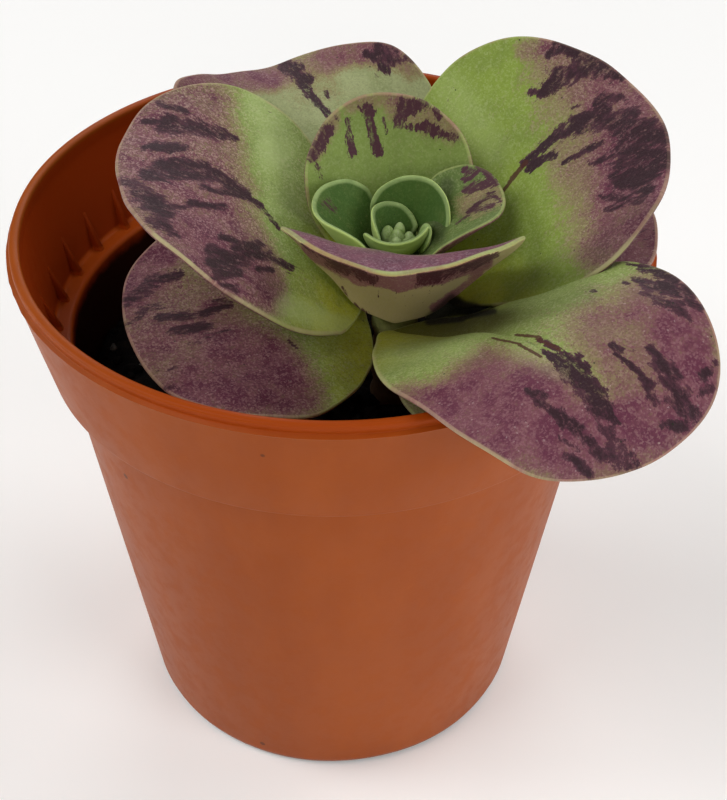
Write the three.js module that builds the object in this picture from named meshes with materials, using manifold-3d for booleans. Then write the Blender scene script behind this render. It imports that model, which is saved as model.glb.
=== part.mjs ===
// Potted aeonium: a young broad-leaved rosette in a small thin-walled nursery pot.
// Millimetres, +Z up. The origin is the centre of the pot's flat underside.
import * as THREE from 'three';
import { mergeVertices } from 'three/addons/utils/BufferGeometryUtils.js';
import Module from 'manifold-3d';

const wasm = await Module();
wasm.setup();

const DEG = Math.PI / 180;
const MERGE_DISTANCE = 1e-4;

// Pot: outer radii and heights of its stepped profile
const FLASH_RADIUS = 27.5;
const FLASH_HEIGHT = 50;
const LIP_HEIGHT = 51;
const LIP_OUTER = 27.25;
const LIP_INNER = 26.4;
const COLLAR_FOOT_RADIUS = 25.1;
const COLLAR_FOOT_HEIGHT = 39.75;
const BODY_TOP_RADIUS = 23.8;
const BASE_RADIUS = 18.3;
const BASE_ROUNDING = 1.2;
const BODY_WALL = 0.8;
const COLLAR_WALL = 0.75;
const LEDGE_THICKNESS = 1.05;
const FLOOR_THICKNESS = 1.2;
const POT_SEGMENTS = 60;
const BEVEL = 0.3;
const LIP_CHAMFER = 0.2;
const LIP_FOOT = 0.12;
const FLASH_SLOPE = 0.25;
const FLASH_OUT = 0.1;
const FILLET = 1;

// Stacking ribs on the ledge, and the drain holes
const RIB_COUNT = 36;
const RIB_DEPTH = 1.0;
const RIB_HEIGHT = 3.8;
const RIB_THICKNESS = 0.6;
const RIB_SINK = 0.5;
const DRAIN_COUNT = 6;
const DRAIN_RADIUS = 2.2;
const DRAIN_CIRCLE = 11.5;
const DRAIN_SIDES = 16;

// Soil and stem
const GAP = 0.3;
const SOIL_HEIGHT = 34;
const SOIL_SWELL = 0.7;
const SOIL_EDGE_DROP = 2;
const SOIL_FILLET = 1.2;
const SOIL_SPOKES = 36;
const SOIL_RINGS = 5;
const STEM_HOLE_DEPTH = 20;
const STEM_HOLE_SIDES = 24;
const STEM_X = 5.4;
const STEM_Y = -2.6;
const STEM_RADIUS = 1.9;
const STEM_FOOT_RADIUS = 1.33;
const STEM_WAIST_RADIUS = 1.748;
const STEM_TOP_RADIUS = 0.7;
const STEM_FOOT = 26;
const STEM_FOOT_ROUNDING = 2;
const STEM_SHOULDER = 44;
const STEM_TOP = 48.8;
const STEM_SIDES = 20;

// The lumps of the growing tip
const BUD_SIDES = 12;
const BUD_RINGS = 8;
const BUDS = [
  { heading: 0, out: 0, height: 50.3, radius: 0.7, tall: 1.5 },
  { heading: 20, out: 0.6, height: 50.3, radius: 0.5, tall: 1.1 },
  { heading: 150, out: 0.55, height: 50.5, radius: 0.5, tall: 1.2 },
  { heading: 265, out: 0.55, height: 50.3, radius: 0.5, tall: 1 },
];

// Leaf thickness at the edge and along the middle, for large and small leaves
const BLADE = { edge: 0.9, middle: 2.0, spokes: 30, rings: [0.35, 0.7, 0.9, 1] };
const MIDDLE_BLADE = { edge: 0.8, middle: 1.3, spokes: 28, rings: [0.35, 0.7, 0.9, 1] };
const SMALL_BLADE = { edge: 0.65, middle: 1.15, spokes: 20, rings: [0.5, 0.85, 1] };
const BASE_ROUND = 0.06;
const RIM_STEP = 0.03;
const RIM_SHARE = 0.45;
const NORMAL_STEP = 0.02;
const MIDRIB_STEPS = 60;
const TRIM_GAP = 0.35;
const CENTRE_RING = 0.05;
const TIP_THINNING = 0.55;
const SHOULDER_POWER = 0.9;
const HEADING_PLACE = 0.35;

// The leaves, innermost first. Angles are in degrees: heading is the direction that the leaf
// grows in, from +X towards +Y, turn its change along the leaf, rise the slope at the base and at
// the tip, arch what is added to the slope half way, roll and twist the tilt about the midrib, and
// cup how far the blade's section is bent up. base is the height of the leaf's foot and reach its
// distance from the stem's centre, on the side of the stem that around gives, or else heading.
// neck is the width at the foot as a fraction of the full width, left and right, belly the place
// of the full width, blunt the roundness of the tip, lean how much wider the left half is, and
// wave the height of an undulation along the edge.
const LEAVES = [
  { name: 'leaf_core_front', blade: SMALL_BLADE, base: 49.7, reach: 1.3, heading: -91, rise: [59, 54],
    roll: 5, length: 2.8, width: 7.2, cup: 70, neck: [0.48, 0.52], lean: 0.03 },
  { name: 'leaf_core_left', blade: SMALL_BLADE, base: 49, reach: 0.9, heading: 131, rise: [58, 77],
    roll: 9, length: 4.2, width: 5.8, cup: 85, neck: [0.5, 0.5], belly: 0.35, lean: -0.18 },
  { name: 'leaf_core_right', blade: SMALL_BLADE, base: 49.8, reach: 1.8, heading: -9, rise: [58, 72],
    roll: 13, length: 2.4, width: 2.9, cup: 18, neck: [0.5, 0.5] },
  { name: 'leaf_core_back', blade: SMALL_BLADE, base: 48.2, reach: 1.3, heading: 52, turn: 1, rise: [53, 88],
    roll: 8, twist: 1, length: 7.2, width: 8.5, cup: 55, neck: [0.5, 0.5], belly: 0.53, lean: 0.02 },
  { name: 'leaf_inner_right', blade: SMALL_BLADE, base: 49.8, reach: 1.8, heading: -2, rise: [44, 30],
    roll: 8, length: 8.8, width: 11, cup: 47, neck: [0.4, 0.4], belly: 0.49, lean: -0.06 },
  { name: 'leaf_inner_left', blade: SMALL_BLADE, base: 47.7, reach: 1.9, heading: 179, rise: [51, 51],
    length: 8.2, width: 11.1, cup: 62, neck: [0.4, 0.4], belly: 0.52 },
  { name: 'leaf_inner_back', blade: BLADE, base: 46, reach: 1.9, heading: 94, turn: -3, rise: [43, 79],
    arch: 2, roll: -4, length: 15.5, width: 16, cup: 45, neck: [0.4, 0.4], belly: 0.5 },
  { name: 'leaf_front', blade: MIDDLE_BLADE, base: 43.8, reach: 2.6, heading: -92, turn: -6, rise: [87, 15],
    arch: -6, roll: -6, twist: 7, length: 21, width: 19.6, cup: 23, neck: [0.15, 0.2], belly: 0.65,
    blunt: 1.4, lean: 0.04 },
  { name: 'leaf_right', blade: BLADE, base: 46, reach: 2.4, heading: 22, turn: 7, rise: [40, 36], arch: 5,
    roll: 6, twist: 2, length: 24, width: 29, cup: 23, neck: [0.35, 0.25], lean: -0.1 },
  { name: 'leaf_left', blade: BLADE, base: 44.4, reach: 2.4, heading: 173, turn: 7, rise: [35, 9], arch: 16,
    roll: -7, twist: 8, length: 25, width: 28, cup: 16, neck: [0.35, 0.25], belly: 0.65, blunt: 2,
    lean: 0.05 },
  { name: 'leaf_back', blade: BLADE, base: 44.2, reach: 2.4, heading: 109, turn: 12, rise: [32, 3], arch: 4,
    roll: -1, twist: -4, length: 27, width: 26, cup: 33, neck: [0.35, 0.35], belly: 0.6, blunt: 2.2,
    lean: 0.2, wave: -2, waveStart: -75 },
  { name: 'leaf_over_rim', blade: BLADE, base: 44.2, reach: 2.4, around: -101, heading: -59, turn: 3.4,
    rise: [11, -61], arch: 52, roll: -3.7, twist: 25.3, length: 34.8, width: 21.8, cup: 2,
    neck: [0.03, 0.11], belly: 0.58, blunt: 2.4, lean: 0.1 },
  { name: 'leaf_under_right', blade: BLADE, base: 43.2, reach: 2.4, heading: 0, rise: [36, 14], arch: -1,
    roll: 2, twist: 2, length: 21.5, width: 19, cup: 14, neck: [0.3, 0.3] },
  { name: 'leaf_under_left', blade: BLADE, base: 42.4, reach: 2.4, heading: -166, turn: -3, rise: [22, -4],
    arch: 1, roll: -8, twist: 3, length: 21.5, width: 25.5, cup: 8, neck: [0.3, 0.35], belly: 0.5,
    blunt: 2.2, lean: 0.1 },
  { name: 'leaf_under_front', blade: BLADE, base: 39.6, reach: 2.4, heading: -51, turn: -2, rise: [-1, 12],
    arch: -3, roll: 1, twist: 2, length: 13.5, width: 11.5, cup: 14, neck: [0.3, 0.3] },
];
const LEAF_DEFAULTS = {
  turn: 0, arch: 0, roll: 0, twist: 0, belly: 0.55, blunt: 2.1, lean: 0, wave: 0, waveStart: 0,
};

// Materials
const TERRACOTTA = new THREE.MeshStandardMaterial({ color: 0x9c5630, roughness: 0.55, metalness: 0 });
const SOIL = new THREE.MeshStandardMaterial({ color: 0x1c1612, roughness: 0.95, metalness: 0 });
const STEM = new THREE.MeshStandardMaterial({ color: 0x6d7040, roughness: 0.8, metalness: 0 });
const GREEN_LEAF = new THREE.MeshStandardMaterial({ color: 0x86a05a, roughness: 0.7, metalness: 0 });
const PURPLE_LEAF = new THREE.MeshStandardMaterial({ color: 0x6b5058, roughness: 0.7, metalness: 0 });
const CORE_LEAF = new THREE.MeshStandardMaterial({ color: 0x6f9950, roughness: 0.7, metalness: 0 });
const PURPLE_LEAVES = ['leaf_over_rim', 'leaf_under_right', 'leaf_under_left', 'leaf_front'];

// Closed triangle meshes and solids
function meshGeometry(vertices, triangles) {
  const geometry = new THREE.BufferGeometry();
  const numbers = vertices.flatMap((v) => v.toArray());
  geometry.setAttribute('position', new THREE.Float32BufferAttribute(numbers, 3));
  geometry.setIndex(triangles.flat());
  return geometry;
}

function toSolid(geometry) {
  const bare = geometry.clone();
  bare.deleteAttribute('normal');
  bare.deleteAttribute('uv');
  const merged = mergeVertices(bare, MERGE_DISTANCE);
  const mesh = new wasm.Mesh({
    numProp: 3,
    vertProperties: new Float32Array(merged.attributes.position.array),
    triVerts: new Uint32Array(merged.index.array),
  });
  return new wasm.Manifold(mesh);
}

function toGeometry(solid) {
  const mesh = solid.getMesh();
  const geometry = new THREE.BufferGeometry();
  geometry.setAttribute('position', new THREE.BufferAttribute(new Float32Array(mesh.vertProperties), 3));
  geometry.setIndex(new THREE.BufferAttribute(new Uint32Array(mesh.triVerts), 1));
  geometry.computeVertexNormals();
  return geometry;
}

function largestPiece(solid) {
  const pieces = solid.decompose();
  return pieces.reduce((best, piece) => (piece.volume() > best.volume() ? piece : best));
}

// A solid of revolution about +Z from a closed profile of [radius, height] points
function turned(profile, segments) {
  const points = profile.map(([radius, height]) => new THREE.Vector2(radius, height));
  const geometry = new THREE.LatheGeometry(points, segments);
  geometry.rotateX(Math.PI / 2);
  return geometry;
}

function outerRadius(height) {
  const along = (height - COLLAR_FOOT_HEIGHT) / (FLASH_HEIGHT - COLLAR_FOOT_HEIGHT);
  return COLLAR_FOOT_RADIUS + (FLASH_RADIUS - COLLAR_FOOT_RADIUS) * along;
}

function bodyRadius(height) {
  const along = height / COLLAR_FOOT_HEIGHT;
  return BASE_RADIUS + (BODY_TOP_RADIUS - BASE_RADIUS) * along;
}

function potSolid() {
  const ledge = COLLAR_FOOT_HEIGHT + LEDGE_THICKNESS;
  const ledgeRadius = outerRadius(ledge) - COLLAR_WALL;
  const profile = [
    [0, 0],
    [BASE_RADIUS - BASE_ROUNDING, 0],
    [BASE_RADIUS - BEVEL * BASE_ROUNDING, BEVEL * BASE_ROUNDING],
    [bodyRadius(BASE_ROUNDING), BASE_ROUNDING],
    [BODY_TOP_RADIUS, COLLAR_FOOT_HEIGHT],
    [COLLAR_FOOT_RADIUS - BEVEL, COLLAR_FOOT_HEIGHT],
    [outerRadius(COLLAR_FOOT_HEIGHT + BEVEL), COLLAR_FOOT_HEIGHT + BEVEL],
    [outerRadius(FLASH_HEIGHT - FLASH_SLOPE), FLASH_HEIGHT - FLASH_SLOPE],
    [FLASH_RADIUS + FLASH_OUT, FLASH_HEIGHT],
    [LIP_OUTER, FLASH_HEIGHT + LIP_FOOT],
    [LIP_OUTER, LIP_HEIGHT - BEVEL],
    [LIP_OUTER - BEVEL, LIP_HEIGHT],
    [LIP_INNER + LIP_CHAMFER, LIP_HEIGHT],
    [LIP_INNER, LIP_HEIGHT - LIP_CHAMFER],
    [LIP_INNER, FLASH_HEIGHT - 2 * LIP_CHAMFER],
    [ledgeRadius, ledge],
    [BODY_TOP_RADIUS - BODY_WALL + BEVEL, ledge],
    [BODY_TOP_RADIUS - BODY_WALL, ledge - BEVEL],
    [bodyRadius(FLOOR_THICKNESS + FILLET) - BODY_WALL, FLOOR_THICKNESS + FILLET],
    [bodyRadius(FLOOR_THICKNESS) - BODY_WALL - FILLET, FLOOR_THICKNESS],
    [0, FLOOR_THICKNESS],
  ];
  return toSolid(turned(profile, POT_SEGMENTS));
}

// One triangular web between the collar's wall and the ledge
function ribSolid(index) {
  const ledge = COLLAR_FOOT_HEIGHT + LEDGE_THICKNESS;
  const wallFoot = outerRadius(ledge) - COLLAR_WALL;
  const wallTop = outerRadius(ledge + RIB_HEIGHT) - COLLAR_WALL;
  const outline = new THREE.Shape();
  outline.moveTo(wallFoot + RIB_SINK, ledge - RIB_SINK);
  outline.lineTo(wallTop + RIB_SINK, ledge + RIB_HEIGHT);
  outline.lineTo(wallTop, ledge + RIB_HEIGHT);
  outline.lineTo(wallFoot - RIB_DEPTH, ledge);
  outline.lineTo(wallFoot - RIB_DEPTH, ledge - RIB_SINK);
  outline.closePath();
  const web = new THREE.ExtrudeGeometry(outline, { depth: RIB_THICKNESS, bevelEnabled: false });
  web.translate(0, 0, -RIB_THICKNESS / 2);
  web.rotateX(Math.PI / 2);
  web.rotateZ((index + 0.5) * (360 / RIB_COUNT) * DEG);
  return toSolid(web);
}

function drainSolid(index) {
  const hole = new THREE.CylinderGeometry(DRAIN_RADIUS, DRAIN_RADIUS, 4 * FLOOR_THICKNESS, DRAIN_SIDES);
  hole.rotateX(Math.PI / 2);
  const angle = (index + 0.5) * (360 / DRAIN_COUNT) * DEG;
  hole.translate(DRAIN_CIRCLE * Math.cos(angle), DRAIN_CIRCLE * Math.sin(angle), 0);
  return toSolid(hole);
}

function makePot() {
  let pot = potSolid();
  for (let i = 0; i < RIB_COUNT; i += 1) pot = pot.add(ribSolid(i));
  for (let i = 0; i < DRAIN_COUNT; i += 1) pot = pot.subtract(drainSolid(i));
  return toGeometry(pot);
}

// The soil's surface is a low uneven mound
function soilHeight(x, y) {
  const swell = Math.sin(0.31 * x + 0.6) * Math.cos(0.27 * y - 0.4) + 0.5 * Math.sin(0.7 * x - 0.5 * y);
  return SOIL_HEIGHT + SOIL_SWELL * swell;
}

function makeSoil() {
  const bottom = FLOOR_THICKNESS + GAP;
  const vertices = [];
  const triangles = [];
  const sideRadius = (height) => bodyRadius(height) - BODY_WALL - GAP;
  const ringAt = (pointOf) => {
    const start = vertices.length;
    for (let k = 0; k < SOIL_SPOKES; k += 1) vertices.push(pointOf((k / SOIL_SPOKES) * 2 * Math.PI));
    return start;
  };
  const joinRings = (low, high) => {
    for (let k = 0; k < SOIL_SPOKES; k += 1) {
      const next = (k + 1) % SOIL_SPOKES;
      triangles.push([low + k, low + next, high + next], [low + k, high + next, high + k]);
    }
  };
  const closeRing = (ring, centre, reversed) => {
    for (let k = 0; k < SOIL_SPOKES; k += 1) {
      const next = (k + 1) % SOIL_SPOKES;
      triangles.push(reversed ? [centre, ring + next, ring + k] : [centre, ring + k, ring + next]);
    }
  };
  const disc = (radius, height) => (a) => (
    new THREE.Vector3(radius * Math.cos(a), radius * Math.sin(a), height)
  );
  vertices.push(new THREE.Vector3(0, 0, bottom));
  let ring = ringAt(disc(sideRadius(bottom) - SOIL_FILLET, bottom));
  closeRing(ring, 0, true);
  let next = ringAt(disc(sideRadius(bottom + SOIL_FILLET), bottom + SOIL_FILLET));
  joinRings(ring, next);
  ring = next;
  const topRadius = sideRadius(SOIL_HEIGHT - SOIL_EDGE_DROP);
  for (let i = 0; i < SOIL_RINGS; i += 1) {
    const radius = topRadius * (1 - i / SOIL_RINGS);
    next = ringAt((a) => {
      const x = radius * Math.cos(a);
      const y = radius * Math.sin(a);
      return new THREE.Vector3(x, y, soilHeight(x, y));
    });
    joinRings(ring, next);
    ring = next;
  }
  vertices.push(new THREE.Vector3(0, 0, soilHeight(0, 0)));
  closeRing(ring, vertices.length - 1, false);
  const holeRadius = STEM_RADIUS + GAP;
  const hole = new THREE.CylinderGeometry(holeRadius, holeRadius, STEM_HOLE_DEPTH, STEM_HOLE_SIDES);
  hole.rotateX(Math.PI / 2);
  hole.translate(STEM_X, STEM_Y, STEM_FOOT - GAP + STEM_HOLE_DEPTH / 2);
  return toGeometry(toSolid(meshGeometry(vertices, triangles)).subtract(toSolid(hole)));
}

function stemProfile(extra) {
  return [
    [0, STEM_FOOT - extra],
    [STEM_FOOT_RADIUS + extra, STEM_FOOT - extra],
    [STEM_RADIUS + extra, STEM_FOOT + STEM_FOOT_ROUNDING],
    [STEM_WAIST_RADIUS + extra, 0.5 * (STEM_FOOT + STEM_SHOULDER)],
    [STEM_RADIUS + extra, STEM_SHOULDER],
    [STEM_TOP_RADIUS + extra, STEM_TOP],
    [0, STEM_TOP + extra],
  ];
}

function stemSolid(extra) {
  const stem = turned(stemProfile(extra), STEM_SIDES);
  stem.translate(STEM_X, STEM_Y, 0);
  return toSolid(stem);
}

// The growing tip: a few rounded leaf buds standing together on the stem's top
function budSolid(extra) {
  let solid = null;
  for (const { heading, out, height, radius, tall } of BUDS) {
    const lump = new THREE.SphereGeometry(1, BUD_SIDES, BUD_RINGS);
    lump.rotateX(Math.PI / 2);
    lump.scale(radius + extra, radius + extra, tall + extra);
    lump.translate(STEM_X + out * Math.cos(heading * DEG), STEM_Y + out * Math.sin(heading * DEG), height);
    solid = solid ? solid.add(toSolid(lump)) : toSolid(lump);
  }
  return solid;
}

// Leaf shape: half the width at a place along the leaf, as a fraction of the full half width
function halfWidth(leaf, along, neck) {
  const rising = Math.sin((Math.PI / 2) * Math.min(along / leaf.belly, 1));
  const grow = neck + (1 - neck) * rising ** SHOULDER_POWER;
  const left = Math.max((along - leaf.belly) / (1 - leaf.belly), 0);
  const close = Math.max(1 - left ** leaf.blunt, 0) ** (1 / leaf.blunt);
  const foot = along < BASE_ROUND ? Math.sqrt(1 - (1 - along / BASE_ROUND) ** 2) : 1;
  return foot * (along <= leaf.belly ? grow : close);
}

function headingAt(leaf, along) {
  return (leaf.heading + leaf.turn * (along - HEADING_PLACE)) * DEG;
}

function slopeAt(leaf, along) {
  const [first, last] = leaf.rise;
  return (first + (last - first) * along + 4 * leaf.arch * along * (1 - along)) * DEG;
}

function midrib(leaf) {
  const side = (leaf.around ?? leaf.heading) * DEG;
  const foot = new THREE.Vector3(
    STEM_X + leaf.reach * Math.cos(side),
    STEM_Y + leaf.reach * Math.sin(side),
    leaf.base,
  );
  const points = [foot];
  for (let i = 0; i < MIDRIB_STEPS; i += 1) {
    const along = (i + 0.5) / MIDRIB_STEPS;
    const ahead = direction(headingAt(leaf, along), slopeAt(leaf, along));
    points.push(points[i].clone().addScaledVector(ahead, leaf.length / MIDRIB_STEPS));
  }
  return points;
}

function direction(heading, slope) {
  return new THREE.Vector3(
    Math.cos(slope) * Math.cos(heading),
    Math.cos(slope) * Math.sin(heading),
    Math.sin(slope),
  );
}

// A point of the leaf's middle sheet with its normal: along runs 0 to 1 from foot to tip, and
// across is the distance from the midrib in millimetres, positive on the left
function sheetPoint(leaf, rib, along, across) {
  const place = Math.min(Math.max(along, 0), 1) * MIDRIB_STEPS;
  const index = Math.min(Math.floor(place), MIDRIB_STEPS - 1);
  const centre = rib[index].clone().lerp(rib[index + 1], place - index);
  const heading = headingAt(leaf, along);
  const slope = slopeAt(leaf, along);
  const side = new THREE.Vector3(-Math.sin(heading), Math.cos(heading), 0);
  const lift = direction(heading, slope + Math.PI / 2);
  const roll = (leaf.roll + leaf.twist * along) * DEG;
  const tiltedSide = side.clone().multiplyScalar(Math.cos(roll)).addScaledVector(lift, Math.sin(roll));
  const tiltedLift = lift.clone().multiplyScalar(Math.cos(roll)).addScaledVector(side, -Math.sin(roll));
  const half = leaf.width / 2;
  const bend = half / (leaf.cup * DEG);
  const ripple = leaf.wave * Math.sin(2 * Math.PI * along + leaf.waveStart * DEG) * (across / half) ** 2;
  const rise = bend * (1 - Math.cos(across / bend)) + ripple;
  return centre.addScaledVector(tiltedSide, bend * Math.sin(across / bend)).addScaledVector(tiltedLift, rise);
}

// The sheet as a disc: ring runs 0 to 1 from the middle to the edge, and turn goes once round
function discPoint(leaf, rib, ring, turn) {
  const edgeAlong = (1 - Math.cos(turn)) / 2;
  const left = Math.sin(turn) >= 0;
  const neck = left ? leaf.neck[0] : leaf.neck[1];
  const wide = 0.5 * leaf.width * (left ? 1 + leaf.lean : 1 - leaf.lean);
  const along = 0.5 + ring * (edgeAlong - 0.5);
  const across = ring * wide * halfWidth(leaf, edgeAlong, neck) * (left ? 1 : -1);
  return { along, point: sheetPoint(leaf, rib, along, across) };
}

function leafSolid(given, extra) {
  const leaf = { ...LEAF_DEFAULTS, ...given };
  const { edge, middle, spokes, rings } = leaf.blade;
  const rib = midrib(leaf);
  const vertices = [];
  const top = [];
  const bottom = [];
  const normalAt = (ring, turn) => {
    const inside = discPoint(leaf, rib, Math.max(ring - NORMAL_STEP, 0), turn).point;
    const outside = discPoint(leaf, rib, ring + NORMAL_STEP, turn).point;
    const round = Math.max(ring, CENTRE_RING);
    const before = discPoint(leaf, rib, round, turn - NORMAL_STEP).point;
    const after = discPoint(leaf, rib, round, turn + NORMAL_STEP).point;
    return outside.sub(inside).cross(after.sub(before)).normalize().negate();
  };
  const addPair = (ring, turn) => {
    const { along, point } = discPoint(leaf, rib, ring, turn);
    const normal = normalAt(ring, turn);
    const body = (middle - edge) * (1 - ring * ring) * (1 - TIP_THINNING * along);
    const lift = (edge + body) / 2 + extra;
    vertices.push(point.clone().addScaledVector(normal, lift), point.clone().addScaledVector(normal, -lift));
    return [vertices.length - 2, vertices.length - 1];
  };
  const [topCentre, bottomCentre] = addPair(0, Math.PI / 2);
  for (const ring of rings) {
    const topRing = [];
    const bottomRing = [];
    for (let k = 0; k < spokes; k += 1) {
      const [high, low] = addPair(ring, (2 * Math.PI * k) / spokes);
      topRing.push(high);
      bottomRing.push(low);
    }
    top.push(topRing);
    bottom.push(bottomRing);
  }
  const rim = [];
  for (let k = 0; k < spokes; k += 1) {
    const turn = (2 * Math.PI * k) / spokes;
    const onEdge = discPoint(leaf, rib, 1, turn).point;
    const outward = onEdge.clone().sub(discPoint(leaf, rib, 1 - RIM_STEP, turn).point).normalize();
    rim.push(vertices.push(onEdge.clone().addScaledVector(outward, edge * RIM_SHARE + extra)) - 1);
  }
  const triangles = [];
  const band = (inner, outer) => {
    for (let k = 0; k < spokes; k += 1) {
      const next = (k + 1) % spokes;
      triangles.push([inner[k], outer[next], outer[k]], [inner[k], inner[next], outer[next]]);
    }
  };
  for (let k = 0; k < spokes; k += 1) {
    const next = (k + 1) % spokes;
    triangles.push([topCentre, top[0][next], top[0][k]], [bottomCentre, bottom[0][k], bottom[0][next]]);
  }
  for (let i = 0; i + 1 < rings.length; i += 1) {
    band(top[i], top[i + 1]);
    band(bottom[i + 1], bottom[i]);
  }
  band(top[rings.length - 1], rim);
  band(rim, bottom[rings.length - 1]);
  return toSolid(meshGeometry(vertices, triangles));
}

// Each leaf is trimmed where its foot meets the stem, the bud and the leaves nearer the centre
function makeLeaves() {
  const cutters = [stemSolid(TRIM_GAP), budSolid(TRIM_GAP)];
  const leaves = [];
  for (const leaf of LEAVES) {
    let solid = leafSolid(leaf, 0);
    for (const cutter of cutters) solid = solid.subtract(cutter);
    solid = largestPiece(solid);
    cutters.push(leafSolid(leaf, TRIM_GAP));
    leaves.push([leaf.name, toGeometry(solid)]);
  }
  return leaves;
}

function addMesh(group, name, geometry, material) {
  const mesh = new THREE.Mesh(geometry, material);
  mesh.name = name;
  group.add(mesh);
}

function leafMaterial(name) {
  if (PURPLE_LEAVES.includes(name)) return PURPLE_LEAF;
  return name.startsWith('leaf_core') ? CORE_LEAF : GREEN_LEAF;
}

const plant = new THREE.Group();
addMesh(plant, 'pot', makePot(), TERRACOTTA);
addMesh(plant, 'soil', makeSoil(), SOIL);
addMesh(plant, 'stem', toGeometry(stemSolid(0)), STEM);
addMesh(plant, 'bud', toGeometry(budSolid(0).subtract(stemSolid(GAP))), CORE_LEAF);
for (const [name, geometry] of makeLeaves()) addMesh(plant, name, geometry, leafMaterial(name));

export default plant;
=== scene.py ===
"""A potted aeonium: a young broad-leaved rosette, green with purple blotches, in a small nursery pot."""
import math
import random

import bpy
import numpy as np
from mathutils import Matrix, Vector, noise


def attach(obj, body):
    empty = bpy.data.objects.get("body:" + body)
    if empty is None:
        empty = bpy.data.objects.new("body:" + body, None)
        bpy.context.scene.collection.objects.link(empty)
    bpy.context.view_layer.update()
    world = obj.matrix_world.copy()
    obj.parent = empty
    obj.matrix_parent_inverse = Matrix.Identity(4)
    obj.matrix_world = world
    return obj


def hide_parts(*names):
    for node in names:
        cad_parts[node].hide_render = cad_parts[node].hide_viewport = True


# Blender counts in metres
MM = 0.001
PER_METRE = 1000.0

# The photograph's camera, seen from the centre of the pot's rim. Lengths are in millimetres.
PHOTO_WIDTH = 727
PHOTO_HEIGHT = 800
FOCAL_PIXELS = 1620.0
SENSOR = 36.0
RIM_CENTRE = (0.0, 0.0, 50.0)
CAMERA_DISTANCE = 139.5
CAMERA_RISE = 33.7
CAMERA_YAW = 1.09
CAMERA_PITCH = -6.07
CAMERA_NEAR = 0.005

# Soft lamps stand round the plant. Each has its turn from the front towards the right and its height
# above the floor, in degrees, and its power in watts. Distances and sizes are in metres.
LIGHT_AIM = (0.0, 0.0, 0.04)
SOFTBOX_DISTANCE = 0.5
SOFTBOX_SIZE = 0.3
SOFTBOXES = {
    "left_softbox": (260, 22, 1.06),
    "left_front_softbox": (300, 55, 0.84),
    "front_softbox": (0, 22, 0.48),
    "right_front_softbox": (50, 22, 0.98),
    "right_softbox": (100, 22, 0.34),
    "right_back_softbox": (120, 55, 0.68),
    "back_softbox": (180, 30, 0.56),
}
SKY_STRENGTH = 0.03
FLOOR_SIZE = 3.0
FLOOR_CUTS = 8
FLOOR_GLOW = 0.08

# Pot: the same stepped profile as the solid, with its edges rounded
FLASH_RADIUS = 27.5
FLASH_HEIGHT = 50.0
LIP_HEIGHT = 51.0
LIP_OUTER = 27.25
LIP_INNER = 26.4
COLLAR_FOOT_RADIUS = 25.1
COLLAR_FOOT_HEIGHT = 39.75
COLLAR_SLOPE = (FLASH_RADIUS - COLLAR_FOOT_RADIUS) / (FLASH_HEIGHT - COLLAR_FOOT_HEIGHT)
COLLAR_MIDDLE = 45.0
BODY_TOP_RADIUS = 23.8
BODY_MIDDLE = 20.0
BASE_RADIUS = 18.3
HUB_RADIUS = 4.0
BODY_WALL = 0.8
COLLAR_WALL = 0.75
LEDGE_THICKNESS = 1.05
LEDGE_HEIGHT = COLLAR_FOOT_HEIGHT + LEDGE_THICKNESS
FLOOR_THICKNESS = 1.2
POT_SIDES = 192
CORNER_STEPS = 3
SMOOTH_ANGLE = 40
RIB_COUNT = 36
RIB_DEPTH = 1.0
RIB_TOP_DEPTH = 0.08
RIB_HEIGHT = 3.8
RIB_THICKNESS = 0.6
RIB_TOP_SHARE = 0.7
RIB_SINK = 0.3
RIB_SOFTENING = 0.1
DRAIN_COUNT = 6
DRAIN_RADIUS = 2.2
DRAIN_CIRCLE = 11.5
DRAIN_SIDES = 40
DRILL_LENGTH = 6.0

# Soil and stem
SOIL_HEIGHT = 34.0
SOIL_EDGE_DROP = 2.0
SOIL_TOP_GAP = 0.1
SOIL_SIDE_GAP = 0.15
SOIL_FLOOR_GAP = 0.3
SOIL_SIDES = 160
GRAIN_SEED = 7
GRAIN_MARGIN = 0.8
GRAIN_SPIN = 6.28
CRUMBS = {"count": 620, "sizes": (0.25, 0.75)}
PALE_GRAINS = {"count": 70, "sizes": (0.15, 0.45)}
STEM_X = 5.4
STEM_Y = -2.6
STEM_RADIUS = 1.9
STEM_FOOT = 26.0
STEM_SHOULDER = 44.0
STEM_TOP = 48.8
STEM_SIDES = 64
STEM_RINGS = 96

# The growing tip's lumps: heading in degrees, distance from the stem's middle, height of the lump's
# middle, radius and half its height
BUD_LUMPS = [
    (0, 0, 50.4, 0.75, 1.15),
    (10, 1.05, 50.2, 0.6, 1.0),
    (150, 0.85, 50.7, 0.6, 0.95),
    (265, 0.65, 50.3, 0.6, 0.9),
    (70, 0.75, 50.9, 0.5, 0.9),
    (325, 0.9, 50.1, 0.5, 0.9),
]
BUD_SIDES = 40
BUD_RINGS = 24

# Leaf blades: thickness at the edge and along the middle, and the mesh's spokes and rings
LARGE = {"edge": 0.38, "middle": 1.9, "spokes": 64, "rings": 30}
MEDIUM = {"edge": 0.34, "middle": 1.3, "spokes": 56, "rings": 26}
SMALL = {"edge": 0.32, "middle": 1.0, "spokes": 36, "rings": 18}
BLADE_CUTS = 3
RIM_SHARE = 0.09
RIM_STEP = 0.03
NORMAL_STEP = 0.01
MIDRIB_STEPS = 60
EDGE_STEPS = 240
HEADING_PLACE = 0.35
SHOULDER_POWER = 0.9
BASE_ROUND = 0.06
TIP_THINNING = 0.55
CREASE_END = 0.75
DEEP_CREASE = 1.0
SWELL_LENGTH = 20.0
UNROLLED = 40.0
VEIN_ROOT = 5.0
STROKE_REACH = 1.1

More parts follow.
